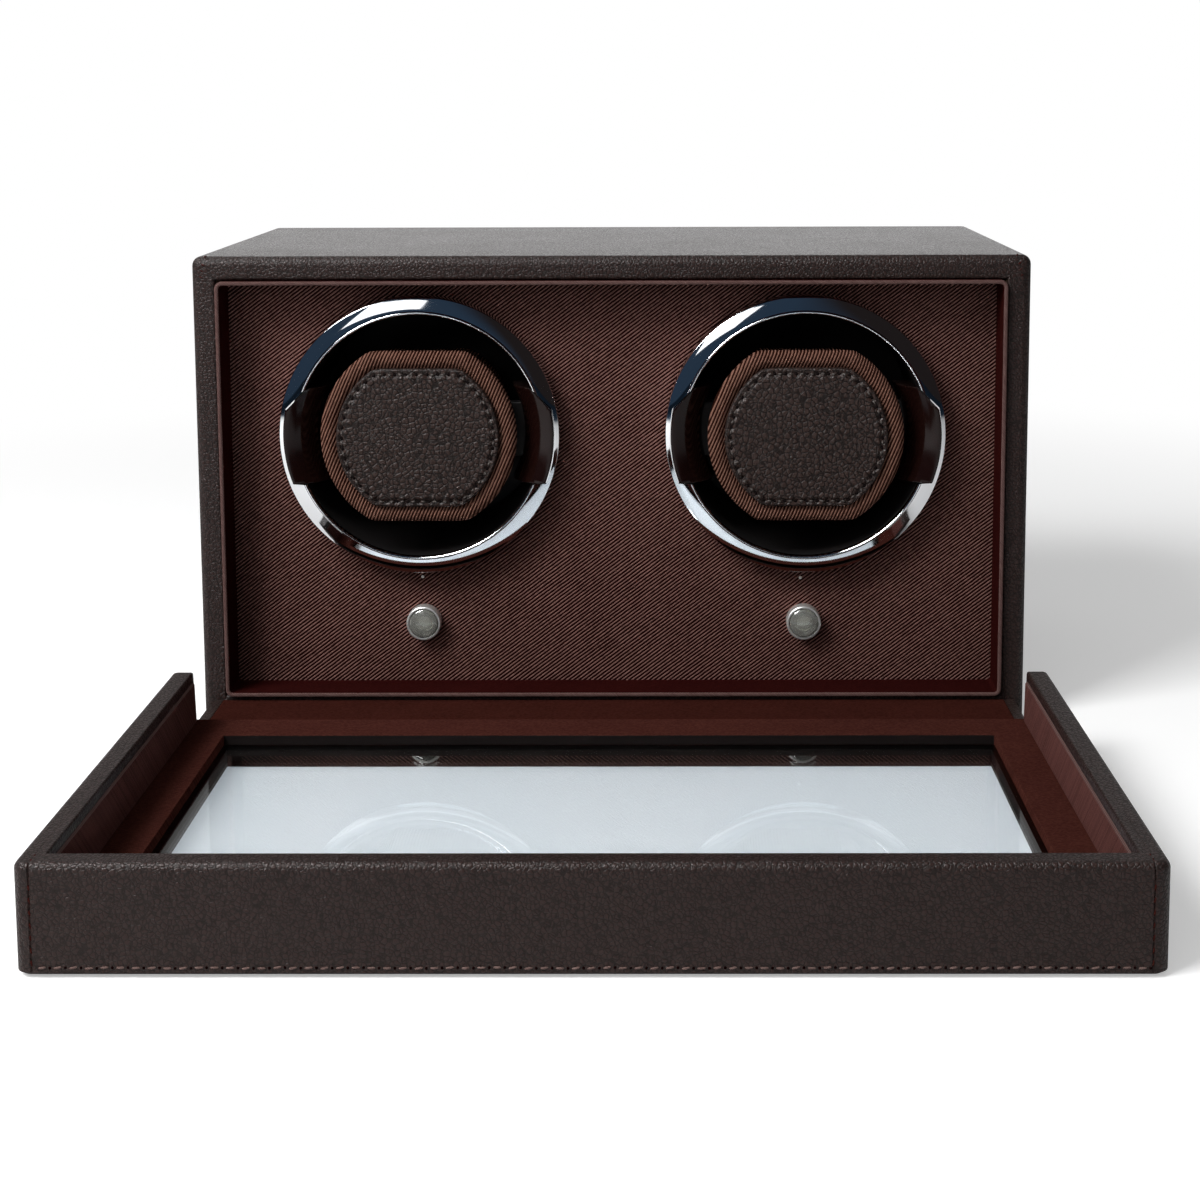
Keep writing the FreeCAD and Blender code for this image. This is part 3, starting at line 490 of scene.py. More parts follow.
def makeWeaveGroup():
    # Straight ribs of thread. Across and Along give ribs and thread turns per metre as directions
    group, take, give = newGroup("threadRibs", [
        ("Vector", "Vector", None), ("Across", "Vector", None), ("Along", "Vector", None),
        ("Thread", "Color", None), ("Gap", "Color", None), ("Fill", "Float", 0.5),
        ("Unevenness", "Float", 0.3)],
        [("Color", "Color"), ("Height", "Float"), ("Roughness", "Float")])

    def along(direction):
        node = addNode(group, "ShaderNodeVectorMath", "DOT_PRODUCT")
        group.links.new(take["Vector"], node.inputs[0])
        group.links.new(direction, node.inputs[1])
        return node.outputs["Value"]

    drift = calc(group, "SUBTRACT", noise(group, take["Vector"], 160.0, 1.0), 0.5)
    ribs = calc(group, "MULTIPLY_ADD", drift, 0.16, along(take["Across"]))
    number = calc(group, "FLOOR", ribs)
    turns = calc(group, "MULTIPLY_ADD", number, 0.37, along(take["Along"]))

    def wave(value):
        cosine = calc(group, "COSINE", calc(group, "MULTIPLY", value, 2 * math.pi))
        return calc(group, "MULTIPLY_ADD", cosine, -0.5, 0.5)

    rib = wave(ribs)
    turn = wave(turns)
    height = calc(group, "MULTIPLY", rib, calc(group, "MULTIPLY_ADD", turn, 0.22, 0.78))
    group.links.new(height, give["Height"])
    chance = addNode(group, "ShaderNodeTexWhiteNoise", noise_dimensions="2D")
    join = addNode(group, "ShaderNodeCombineXYZ")
    group.links.new(number, join.inputs[0])
    group.links.new(calc(group, "FLOOR", turns), join.inputs[1])
    group.links.new(join.outputs[0], chance.inputs["Vector"])
    clouds = calc(group, "SUBTRACT", noise(group, take["Vector"], 55.0, 4.0, 0.6), 0.5)
    chance = calc(group, "SUBTRACT", chance.outputs["Value"], 0.5)
    threadToThread = calc(group, "MULTIPLY", chance, take["Unevenness"])
    shade = calc(group, "MULTIPLY_ADD", clouds, take["Unevenness"], height)
    shade = calc(group, "ADD", shade, threadToThread)
    edge = calc(group, "SUBTRACT", 1.0, take["Fill"])
    factor = addNode(group, "ShaderNodeMapRange", interpolation_type="SMOOTHSTEP")
    group.links.new(shade, factor.inputs["Value"])
    group.links.new(calc(group, "SUBTRACT", edge, 0.26), factor.inputs["From Min"])
    group.links.new(calc(group, "ADD", edge, 0.36), factor.inputs["From Max"])
    group.links.new(mixColours(group, factor.outputs["Result"], take["Gap"], take["Thread"]), give["Color"])
    group.links.new(calc(group, "MULTIPLY_ADD", height, -0.15, 0.80), give["Roughness"])
    return group


def makeWearAndRimHighlightGroup():
    # Paler where an edge stands out: rubbed wear on leather, and a painted rim highlight on the wings'
    # plastic
    group, take, give = newGroup("rubbedEdgesAndRimHighlight", [
        ("Vector", "Vector", None), ("Color", "Color", None), ("Worn and highlit", "Color", None),
        ("Amount", "Float", 0.5)], [("Color", "Color")])
    shape = addNode(group, "ShaderNodeNewGeometry")
    ridge = stretch(group, shape.outputs["Pointiness"], 0.52, 0.60)
    patches = stretch(group, noise(group, take["Vector"], 420.0, 3.0, 0.6), 0.35, 0.7)
    mask = calc(group, "MULTIPLY", calc(group, "MULTIPLY", ridge, patches), take["Amount"])
    group.links.new(mixColours(group, mask, take["Color"], take["Worn and highlit"]), give["Color"])
    return group


def makeMottleGroup():
    # Faint clouds and specks for moulded plastic, board and metal
    group, take, give = newGroup("mottle", [
        ("Vector", "Vector", None), ("Color", "Color", None), ("Marked", "Color", None),
        ("Amount", "Float", 0.3), ("Specks per metre", "Float", 900.0), ("Roughness", "Float", 0.4)],
        [("Color", "Color"), ("Roughness", "Float"), ("Height", "Float")])
    clouds = noise(group, take["Vector"], 45.0, 4.0, 0.65)
    specks = noise(group, take["Vector"], take["Specks per metre"], 3.0, 0.6)
    amount = calc(group, "MULTIPLY", take["Amount"], 3.0)
    mask = calc(group, "MULTIPLY", calc(group, "MULTIPLY", clouds, specks), amount)
    group.links.new(mixColours(group, mask, take["Color"], take["Marked"]), give["Color"])
    uneven = calc(group, "MULTIPLY", calc(group, "SUBTRACT", clouds, 0.5), 0.25)
    uneven = calc(group, "MULTIPLY", uneven, take["Amount"])
    group.links.new(calc(group, "ADD", take["Roughness"], uneven), give["Roughness"])
    group.links.new(specks, give["Height"])
    return group


grainGroup = makeGrainGroup()
weaveGroup = makeWeaveGroup()
wearAndHighlightGroup = makeWearAndRimHighlightGroup()
mottleGroup = makeMottleGroup()


# Finishes

def useGroup(tree, group, values):
    node = tree.nodes.new("ShaderNodeGroup")
    node.node_tree = group
    for key, value in values.items():
        if isinstance(value, (int, float)):
            node.inputs[key].default_value = value
        elif isinstance(value, tuple):
            node.inputs[key].default_value = (*value, 1) if node.inputs[key].type == "RGBA" else value
        else:
            tree.links.new(value, node.inputs[key])
    return node.outputs


def addBump(tree, shader, height, depth):
    bump = tree.nodes.new("ShaderNodeBump")
    bump.inputs["Distance"].default_value = depth * mm
    tree.links.new(height, bump.inputs["Height"])
    tree.links.new(bump.outputs["Normal"], shader.inputs["Normal"])


def leatherFinish(name, base, crease, worn, pebbles, depth, unevenness=0.5, edgeWearAndRimHighlight=0.5):
    material, tree, shader, place = newFinish(name, Specular_IOR_Level=0.24)
    grain = useGroup(tree, grainGroup, {"Vector": place, "Pebbles per metre": pebbles, "Base": base,
                                        "Crease": crease, "Unevenness": unevenness})
    rubbedAndHighlit = useGroup(tree, wearAndHighlightGroup, {"Vector": place, "Color": grain["Color"], "Worn and highlit": worn,
                                        "Amount": edgeWearAndRimHighlight})
    tree.links.new(rubbedAndHighlit["Color"], shader.inputs["Base Color"])
    tree.links.new(grain["Roughness"], shader.inputs["Roughness"])
    addBump(tree, shader, grain["Height"], depth)
    return material


def clothFinish(name, across, along, thread, gap, depth, fill=0.5, unevenness=0.3, sheen=0.0):
    material, tree, shader, place = newFinish(name, Specular_IOR_Level=0.0, Sheen_Weight=sheen,
                                              Sheen_Roughness=0.5)
    weave = useGroup(tree, weaveGroup, {"Vector": place, "Across": across, "Along": along, "Thread": thread,
                                        "Gap": gap, "Fill": fill, "Unevenness": unevenness})
    tree.links.new(weave["Color"], shader.inputs["Base Color"])
    tree.links.new(weave["Roughness"], shader.inputs["Roughness"])
    addBump(tree, shader, weave["Height"], depth)
    return material


def hardFinish(name, colour, marked, roughness, amount=0.3, specks=900.0, depth=0.01, edgeWearAndRimHighlight=None,
               **more):
    material, tree, shader, place = newFinish(name, **more)
    spots = useGroup(tree, mottleGroup, {"Vector": place, "Color": colour, "Marked": marked,
                                         "Amount": amount, "Specks per metre": specks,
                                         "Roughness": roughness})
    shown = spots["Color"]
    # Paler edges on a hard finish are a painted rim highlight, given only to the wings
    if edgeWearAndRimHighlight:
        rubbedAndHighlit = useGroup(tree, wearAndHighlightGroup, {"Vector": place, "Color": shown, "Worn and highlit": edgeWearAndRimHighlight, "Amount": 0.5})
        shown = rubbedAndHighlit["Color"]
    tree.links.new(shown, shader.inputs["Base Color"])
    tree.links.new(spots["Roughness"], shader.inputs["Roughness"])
    if depth:
        addBump(tree, shader, spots["Height"], depth)
    return material


def ribs(pitch, degrees):
    # Direction across ribs that rise at that angle in the front view, in ribs per metre
    turn = math.radians(degrees)
    return (-math.sin(turn) / pitch / mm, 0.0, math.cos(turn) / pitch / mm)


def failleFinish(name, thread, gap, unevenness=0.5):
    # Cloth with fine ribs that run from side to side, 0.55 mm apart
    rib, turn = 1 / 0.55 / mm, 1 / 0.6 / mm
    return clothFinish(name, (0, rib, rib), (turn, 0, 0), thread, gap, 0.12, 0.6, unevenness)


def threadFinish(name, thread, gap, fill=0.6):
    # Sewing thread, with its plies aslant
    ply, turn = 1 / 0.35 / mm, 1 / 0.5 / mm
    return clothFinish(name, (ply, ply, ply), (0, 0, turn), thread, gap, 0.05, fill=fill)


finishes = {
    "brown_leather": leatherFinish("espressoLeather", (0.028, 0.0142, 0.0122), (0.009, 0.0045, 0.0035),
                                   (0.060, 0.040, 0.034), 900.0, 0.18, unevenness=0.35, edgeWearAndRimHighlight=0.3),
    "pad_leather": leatherFinish("padLeather", (0.036, 0.021, 0.0175), (0.008, 0.004, 0.003),
                                 (0.08, 0.062, 0.054), 620.0, 0.26, unevenness=0.5, edgeWearAndRimHighlight=0.3),
    "panel_twill": clothFinish("panelTwill", ribs(1.0, 37), ribs(0.8, 127), (0.225, 0.115, 0.100),
                               (0.014, 0.0045, 0.004), 0.32, fill=0.50, unevenness=0.22),
    "cuff_twill": clothFinish("cuffTwill", ribs(1.0, 67), ribs(0.8, 157), (0.215, 0.108, 0.080),
                              (0.016, 0.005, 0.003), 0.32, fill=0.54, unevenness=0.2),
    "lining_cloth": failleFinish("failleLining", (0.086, 0.027, 0.020), (0.028, 0.008, 0.006)),
    "suede": clothFinish("baseSuede", (1 / 0.3 / mm, 0, 0), (0, 1 / 0.3 / mm, 0), (0.060, 0.042, 0.034),
                         (0.030, 0.020, 0.017), 0.08, fill=0.6, unevenness=0.9, sheen=0.4),
    "board": hardFinish("fibreBoard", (0.36, 0.25, 0.16), (0.22, 0.14, 0.08), 0.8, 0.7, 1400.0, 0.05),
    # The wings' paler rims are a painted highlight
    "wing_plastic": hardFinish("wingPlastic", (0.007, 0.0022, 0.0018), (0.012, 0.004, 0.003), 0.13, 0.3,
                               500.0, 0.003, edgeWearAndRimHighlight=(0.10, 0.08, 0.07), Specular_IOR_Level=0.22),
    "drum_plastic": hardFinish("drumPlastic", (0.009, 0.008, 0.008), (0.014, 0.012, 0.012), 0.42, 0.4,
                               Specular_IOR_Level=0.25),
    "black_plastic": hardFinish("blackPlastic", (0.020, 0.020, 0.020), (0.030, 0.030, 0.030), 0.45, 0.4),
    "white_plastic": hardFinish("whitePlastic", (0.70, 0.69, 0.66), (0.62, 0.60, 0.56), 0.35, 0.3),
    "chrome": hardFinish("polishedChrome", (0.80, 0.81, 0.83), (0.72, 0.73, 0.75), 0.05, 0.25, 60.0, 0.0,
                         Metallic=1.0),
    "steel": hardFinish("brightSteel", (0.52, 0.52, 0.51), (0.40, 0.40, 0.39), 0.30, 0.4, 1500.0, 0.004,
                        Metallic=1.0),
    "bronze": hardFinish("sinteredBronze", (0.46, 0.30, 0.14), (0.30, 0.19, 0.09), 0.42, 0.6, 2500.0, 0.01,
                         Metallic=1.0),
    "circuit_board": hardFinish("circuitBoard", (0.015, 0.085, 0.040), (0.010, 0.050, 0.026), 0.30, 0.5,
                                700.0, 0.01),
    "clear_glass": hardFinish("windowGlass", (0.93, 0.96, 0.97), (0.90, 0.93, 0.95), 0.015, 0.04, 30.0, 0.0,
                              IOR=1.5, Transmission_Weight=1.0),
    "clear_acrylic": hardFinish("lensAcrylic", (0.80, 0.81, 0.74), (0.55, 0.55, 0.50), 0.10, 0.6, 420.0,
                                0.02, IOR=1.49, Transmission_Weight=0.78, Coat_Weight=1.0,
                                Coat_Roughness=0.03),
}
# Finishes of single pieces and faces, beside those of the record's slots
stitchThread = threadFinish("stitchThread", (0.235, 0.165, 0.150), (0.070, 0.038, 0.033), fill=0.65)
seamThread = threadFinish("seamThread", (0.085, 0.022, 0.018), (0.020, 0.004, 0.003))
holeShade = threadFinish("holeShade", (0.012, 0.003, 0.003), (0.003, 0.001, 0.001), fill=0.5)
darkThread = threadFinish("padThread", (0.014, 0.010, 0.010), (0.004, 0.003, 0.003))
# Recess walls: the cloth's own dark red, darkened further as painted shade inside the recess
recessClothPaintedShade = clothFinish("recessClothPaintedShade", (0, 1 / 0.5 / mm, 0), (1 / 0.5 / mm, 0, 1 / 0.5 / mm),
                          (0.040, 0.007, 0.006), (0.012, 0.002, 0.002), 0.10, fill=0.6)
# A paler copy of the recess cloth: painted highlight on lips and edges that face the light
lipClothPaintedHighlight = clothFinish("lipClothPaintedHighlight", (1 / 0.5 / mm, 0, 1 / 0.5 / mm), (1 / 0.7 / mm, 0, 1 / 0.7 / mm),
                       (0.17, 0.105, 0.098), (0.06, 0.028, 0.024), 0.10, fill=0.6)
# Near black for the turned down cloth inside the window: painted shade on the reveal
windowRevealShade = hardFinish("windowRevealShade", (0.004, 0.002, 0.002), (0.008, 0.005, 0.004), 0.7, 0.4,
                         Specular_IOR_Level=0.1)
satinRim = hardFinish("satinRim", (0.82, 0.82, 0.80), (0.70, 0.70, 0.68), 0.38, 0.3, 1200.0, 0.004,
                      Metallic=0.8)
# The walls' faille is the frame's faille made lighter: painted light where the lamp falls on the walls
wallClothPaintedLight = failleFinish("wallFaillePaintedLight", (0.160, 0.066, 0.058), (0.055, 0.021, 0.018), unevenness=0.4)
# Paler leather for the swellings between the pad's stitches: painted highlight
padSwellingHighlight = leatherFinish("padSwellingHighlight", (0.085, 0.070, 0.064), (0.05, 0.04, 0.036), (0.10, 0.09, 0.08),
                            1500.0, 0.05, unevenness=0.3)
# The hinge's faille is a darker copy of the lining cloth: painted shade where the hinge lies beside the
# case
hingeClothPaintedShade = failleFinish("hingeFaillePaintedShade", (0.060, 0.0165, 0.0120), (0.022, 0.006, 0.004))
dotPaint = hardFinish("dotPaint", (0.75, 0.74, 0.72), (0.6, 0.58, 0.56), 0.4, 0.3)
darkBoard = hardFinish("blackenedBoard", (0.006, 0.004, 0.003), (0.012, 0.008, 0.007), 0.8, 0.6, 1400.0,
                       0.05, Specular_IOR_Level=0.15)
buttonLamp = hardFinish("buttonLamp", (0.80, 0.80, 0.74), (0.66, 0.66, 0.60), 0.25, 0.3, 900.0, 0.01)

# The cover's frame boards are blackened, because their edges show round the glass
darkNodes = ("cover_outer_frame", "cover_inner_frame", "cover_side_boards", "cover_far_board")
slotOf = {part["node"]: part["material_slot"] for part in frame["record"]["subparts"]}
ownFinish = {**{name: darkBoard for name in darkNodes}, "button_leds": buttonLamp}
for name, node in frame["nodes"].items():
    for materialSlot in node.material_slots:
        materialSlot.material = ownFinish.get(name, finishes[slotOf[name]])
print("finishes made:", len(finishes))


# Case: leather over the boards, a border seamed on in front

caseSkinSizes = {"half": 132.5, "front": -63.0, "back": 63.0, "low": 0.4, "high": 150.0, "seam": -61.4,
                 "edgeRound": 3.0, "skin": 1.2, "seamRound": 0.5, "innerRound": 1.3, "outerRound": 1.5,
                 "openHalf": 124.8, "openLow": 7.7, "openHigh": 142.3, "inletRadius": 4.05,
                 "inletZ": 32.0}


def roundedCase(name, s):
    piece = newBlock(name, (-s["half"], s["front"], s["low"]), (s["half"], s["back"], s["high"]))
    openUp(piece)
    pick(piece, "EDGE", lambda edge: runs(edge, "z") or middle(edge).z > s["high"] - 0.1)
    bevelPicked(s["edgeRound"], 6)
    closeUp()
    return piece


def makeCaseSkin(s):
    piece = roundedCase("caseSkin", s)
    sliceOff(piece, (0, s["seam"], 0), (0, -1, 0), fill=False)
    openUp(piece)
    pick(piece, "FACE", lambda face: face.normal.z < -0.9)
    bpy.ops.mesh.delete(type="FACE")
    closeUp()
    work(piece, "SOLIDIFY", thickness=s["skin"] * mm, offset=-1)
    cutWith(piece, newRod("hole", 0, s["inletZ"], s["inletRadius"], s["back"] - 4, s["back"] + 4))
    softenEdges(piece, s["seamRound"])
    smooth(piece)
    finish(piece, "case", finishes["brown_leather"], "brown_leather", "case_leather")


def makeFrontBorder(s):
    piece = roundedCase("frontBorder", s)
    sliceOff(piece, (0, s["seam"], 0), (0, 1, 0))
    cutWith(piece, newBlock("opening", (-s["openHalf"], s["front"] - 2, s["openLow"]),
                            (s["openHalf"], s["seam"] + 2, s["openHigh"])))

    def roundOff(radius, inner):
        # Rounds the front edges round the opening, or those at the outline
        def wanted(edge):
            m = middle(edge)
            atOpening = abs(m.x) < s["openHalf"] + 0.1 and s["openLow"] - 0.1 < m.z < s["openHigh"] + 0.1
            return m.y < s["front"] + 0.01 and atOpening == inner and edge.calc_face_angle(0) > 1.2
        openUp(piece)
        pick(piece, "EDGE", wanted)
        bevelPicked(radius, 5)
        closeUp()

    roundOff(s["innerRound"], True)
    roundOff(s["outerRound"], False)
    softenEdges(piece, s["seamRound"])
    smooth(piece)
    finish(piece, "case", finishes["brown_leather"], "brown_leather", "front_border_leather")


makeCaseSkin(caseSkinSizes)
makeFrontBorder(caseSkinSizes)

collarSizes = {"half": 124.8, "low": 7.7, "high": 142.3, "front": -65.0, "back": -51.0, "cornerRound": 2.4,
               "thickness": 1.3, "lipRound": 0.45}


def makeCollar(s):
    piece = newBlock("recessCollar", (-s["half"], s["front"], s["low"]), (s["half"], s["back"], s["high"]))
    openUp(piece)
    pick(piece, "FACE", lambda face: abs(face.normal.y) > 0.9)
    bpy.ops.mesh.delete(type="FACE")
    pick(piece, "EDGE", lambda edge: runs(edge, "y"))
    bevelPicked(s["cornerRound"], 6)
    closeUp()
    work(piece, "SOLIDIFY", thickness=s["thickness"] * mm, offset=-1)
    softenEdges(piece, s["lipRound"])
    smooth(piece)
    # The recess walls carry painted shade
    finish(piece, "case", recessClothPaintedShade, "lining_cloth", "recess_collar")
    # The collar's front lip is a painted highlight
    paintFaces(piece, lipClothPaintedHighlight, lambda place, out: place.y < s["front"] + 0.35)


makeCollar(collarSizes)

dotSizes = {"radius": 0.5, "front": -51.12, "back": -50.7, "sides": 20, "edgeRound": 0.06,
            "places": ((-62.5, 43.7), (61.0, 43.2))}


def makeDots(s):
    # A small painted dot under each ring
    for number, (x, z) in enumerate(s["places"]):
        dot = newRod("indexDot%d" % (number + 1), x, z, s["radius"], s["front"], s["back"], s["sides"])
        softenEdges(dot, s["edgeRound"], 2)
        smooth(dot, weighted=False)
        finish(dot, "case", dotPaint, "white_plastic")


makeDots(dotSizes)
print("case skin, border, collar and dots done")


# Winders: chrome ring, drum, cuff. Each is made about the axis and copied to both sides

sidePlaces = {"left": (-62.0, 0, 91.7), "right": (62.0, 0, 91.7)}


def forBothSides(piece, baseName, bodyEnd, material, slotName, *nodeEnds):
    # Copies a piece to both winders, and the copies ride on their own side's body
    made = []
    for side, shift in sidePlaces.items():
        twin = copyTo(piece, side + baseName, shift)
        finish(twin, side + "_" + bodyEnd, material, slotName, *[side + "_" + end for end in nodeEnds])
        made.append(twin)
    bpy.data.objects.remove(piece)
    return made


ringSizes = {"outer": 45.0, "bore": 39.3, "front": -59.2, "rear": -51.8, "valley": -58.7, "edge": -57.55,
             "bead": 1.1, "bulge": 0.14, "round": 0.35, "socket": 41.5, "socketFloor": -57.0, "steps": 192,
             "notchHigh": 15.7, "notchReach": 43.6, "chamfer": 7.8}


def wingPrism(name, high, reach, chamfer, front, back):
    # The wings' outline seen from the front, with the upper outer corners cut off
    piece = newBlock(name, (-reach - 6, front, -high), (reach + 6, back, high))
    for side in (-1, 1):
        sliceOff(piece, (side * (reach - chamfer), 0, high), (side, 0, 1))
    return piece


def makeRing(s):
    # The inner bead, the wide convex band and its rounded outer edge
    points = [(s["socket"], s["rear"]), (s["socket"], s["socketFloor"]), (s["bore"], s["socketFloor"])]
    beadEnd = (s["bore"] + s["bead"], s["valley"])
    points += bow((s["bore"], s["valley"]), beadEnd, s["valley"] - s["front"], 8)
    points += bow(beadEnd, (s["outer"] - s["round"], s["edge"]), s["bulge"], 14)[1:]
    points += bow(points[-1], (s["outer"], s["edge"] + s["round"] * 1.3), s["round"] * 0.3, 6)[1:]
    points += [(s["outer"], s["rear"] - 0.4), (s["outer"] - 0.4, s["rear"])]
    piece = newTurned("ring", points, s["steps"])
    notch = wingPrism("notch", s["notchHigh"], s["notchReach"], s["chamfer"], s["front"] - 3,
                      s["socketFloor"])
    reach = newRod("reach", 0, 0, s["notchReach"], s["front"] - 2, s["socketFloor"] + 0.001, 192)
    work(notch, "BOOLEAN", operation="INTERSECT", object=reach, solver="EXACT")
    bpy.data.objects.remove(reach)
    cutWith(piece, notch)
    smooth(piece, 35, weighted=False)
    forBothSides(piece, "ChromeRing", "rotor", finishes["chrome"], "chrome", "chrome_ring")


makeRing(ringSizes)

drumSizes = {"outer": 41.5, "bore": 39.3, "front": -57.0, "rear": -5.0, "rearWall": 2.5, "boss": 8.0,
             "bossFront": -12.0, "hole": 3.0, "steps": 128}


def makeDrum(s):
    floor = s["rear"] - s["rearWall"]
    points = [(s["hole"], s["rear"]), (s["outer"] - 0.5, s["rear"]), (s["outer"], s["rear"] - 0.5),
              (s["outer"], s["front"]), (s["bore"], s["front"]), (s["bore"], floor - 2.0),
              (s["bore"] - 0.6, floor - 0.6), (s["bore"] - 2.0, floor), (s["boss"], floor),
              (s["boss"], s["bossFront"] + 0.5), (s["boss"] - 0.5, s["bossFront"]),
              (s["hole"], s["bossFront"])]
    piece = newTurned("drum", points, s["steps"])
    smooth(piece, 35, weighted=False)
    forBothSides(piece, "Drum", "rotor", finishes["drum_plastic"], "drum_plastic", "drum")


makeDrum(drumSizes)

wingSizes = {"high": 15.4, "rim": 43.3, "rimWidth": 0.9, "front": -59.6, "lipRear": -57.4, "chamfer": 7.8,
             "legOuter": 38.5, "scoop": 1.5, "back": -41.5, "steps": 160, "edgeRound": 0.25,
             "scoopEnd": (33.6, -50.5), "inner": 32.8}


def makeWings(s):
    rimIn = s["rim"] - s["rimWidth"]
    points = [(s["rim"], s["lipRear"]), (s["rim"], s["front"] + 0.3), (s["rim"] - 0.12, s["front"] + 0.08),
              (s["rim"] - 0.35, s["front"])]
    points += bow((rimIn, s["front"]), s["scoopEnd"], -s["scoop"], 16)
    points += [(s["inner"], s["back"]), (s["legOuter"], s["back"]), (s["legOuter"], s["lipRear"])]
    piece = newTurned("wings", points, s["steps"])
    sliceOff(piece, (0, 0, s["high"]), (0, 0, 1))
    sliceOff(piece, (0, 0, -s["high"]), (0, 0, -1))
    for side in (-1, 1):
        sliceOff(piece, (side * (s["rim"] - s["chamfer"]), 0, s["high"]), (side, 0, 1))
    softenEdges(piece, s["edgeRound"], 2, 40)
    smooth(piece, 35, weighted=False)
    forBothSides(piece, "CuffWings", "cuff", finishes["wing_plastic"], "wing_plastic", "cuff_wings")


makeWings(wingSizes)

barSizes = {"half": 37.5, "high": 9.0, "front": -45.5, "back": -41.5, "edgeRound": 0.6}


def makeBar(s):
    # Carries both wings behind the cushion
    piece = newBlock("bar", (-s["half"], s["front"], -s["high"]), (s["half"], s["back"], s["high"]))
    softenEdges(piece, s["edgeRound"])
    smooth(piece)
    forBothSides(piece, "CuffBar", "cuff", finishes["drum_plastic"], "wing_plastic", "cuff_frame")


makeBar(barSizes)
print("rings, drums and wings done")


# Soft pieces of the cuff

cushionSizes = {"half": 31.6, "high": 27.7, "corner": 4.5, "front": -61.0, "back": -27.0, "rimRound": 2.4,
                "start": 0.1, "drawIn": 3.4, "drawFrom": -57.5, "drawTo": -48.0, "voxel": 1.3,
                "pressure": 0.6, "cap": 0.75, "seat": -59.1, "seatHalf": 26.9, "seatHigh": 23.1,
                "seatCorner": 3.9, "seatEdge": 0.9, "slotFront": -45.6, "slotBack": -41.4,
                "slotHigh": 9.1}
padSizes = {"half": 26.2, "high": 22.5, "corner": 3.5, "front": -62.3, "back": -59.2, "rimRound": 0.9,
            "start": 0.15, "voxel": 0.62, "pressure": 0.25, "cap": 0.3, "seamInset": 2.0, "seamWide": 0.7,
            "seamDeep": 0.85, "seamReach": 3.0, "seamFrom": -60.5, "swell": 0.2, "swellInset": 1.1,
            "swellWide": 0.7,
            "stitchPitch": 3.36, "stitchLength": 2.2, "stitchThick": 1.05,
            "bumpLength": 1.5, "bumpThick": 0.62, "bumpProud": 0.12}

# How the skin of a soft piece gives while air pressure fills it
softSkin = {"quality": 5, "mass": 0.3, "tension_stiffness": 15, "compression_stiffness": 15,
            "bending_stiffness": 2, "use_pressure": True}


def clippedDisc(name, half, high, corner, front, back, rimRound):
    # A disc with its top and bottom cut off flat and the corners between rounded
    piece = newRod(name, 0, 0, half, front, back, 96)
    for side in (-1, 1):
        sliceOff(piece, (0, 0, side * high), (0, 0, side))
    openUp(piece)
    pick(piece, "EDGE", lambda edge: runs(edge, "y") and abs(middle(edge).z) > high - 0.01)
    bevelPicked(corner, 6)
    pick(piece, "EDGE", lambda edge: not runs(edge, "y"))
    bevelPicked(rimRound, 5)
    closeUp()
    return piece


def outlinePath(half, high, corner, inset):
    # Points on the clipped disc's outline, found by walking its direction round the centre
    path, count = [], 720
    half, high = half - inset, high - inset
    corner = max(corner - inset * 0.2, 0.8)
    reach = half - corner
    level = high - corner
    sideways = math.sqrt(max(reach * reach - level * level, 0.0))
    for n in range(count):
        turn = 2 * math.pi * n / count
        dx, dz = math.cos(turn), math.sin(turn)
        limit = math.atan2(level, sideways)
        fold = math.asin(min(1.0, abs(dz)))
        if fold <= limit:
            path.append((half * dx, half * dz))
        else:
            far = high / abs(dz)
            if abs(far * dx) > sideways:
                # On the corner's arc
                cx, cz = math.copysign(sideways, dx), math.copysign(level, dz)
                along = cx * dx + cz * dz
                off = cx * cx + cz * cz - corner * corner
                far = along + math.sqrt(max(along * along - off, 0.0))
            path.append((far * dx, far * dz))
    return path


def insideOutline(path, x, z):
    # Distance to the outline, above 0 inside it, and how far along the outline that is
    best = (1e9, 0)
    for n, (px, pz) in enumerate(path):
        gap = (px - x) ** 2 + (pz - z) ** 2
        if gap < best[0]:
            best = (gap, n)
    px, pz = path[best[1]]
    inside = math.hypot(x, z) < math.hypot(px, pz)
    return math.sqrt(best[0]) * (1 if inside else -1), best[1]


def ease(value, low, high):
    t = min(1.0, max(0.0, (value - low) / (high - low)))
    return t * t * (3 - 2 * t)


def puffUp(piece, s, shape=None):
    # Remeshed evenly, swollen a little by air pressure, and held within the cap
    takeUp(piece)
    piece.data.remesh_voxel_size = s["voxel"] * mm
    bpy.ops.object.voxel_remesh()
    if shape:
        for v in piece.data.vertices:
            v.co = shape(v.co / mm) * mm
    before = [v.co.copy() for v in piece.data.vertices]
    puff = piece.modifiers.new("puff", "CLOTH")
    for key, value in softSkin.items():
        setattr(puff.settings, key, value)
    puff.settings.uniform_pressure_force = s["pressure"]
    puff.settings.effector_weights.gravity = 0
    for step in range(1, 21):
        scene.frame_set(step)
    bpy.ops.object.modifier_apply(modifier=puff.name)
    scene.frame_set(1)
    for v, rest in zip(piece.data.vertices, before):
        move = v.co - rest
        if move.length > s["cap"] * mm:
            v.co = rest + move.normalized() * s["cap"] * mm


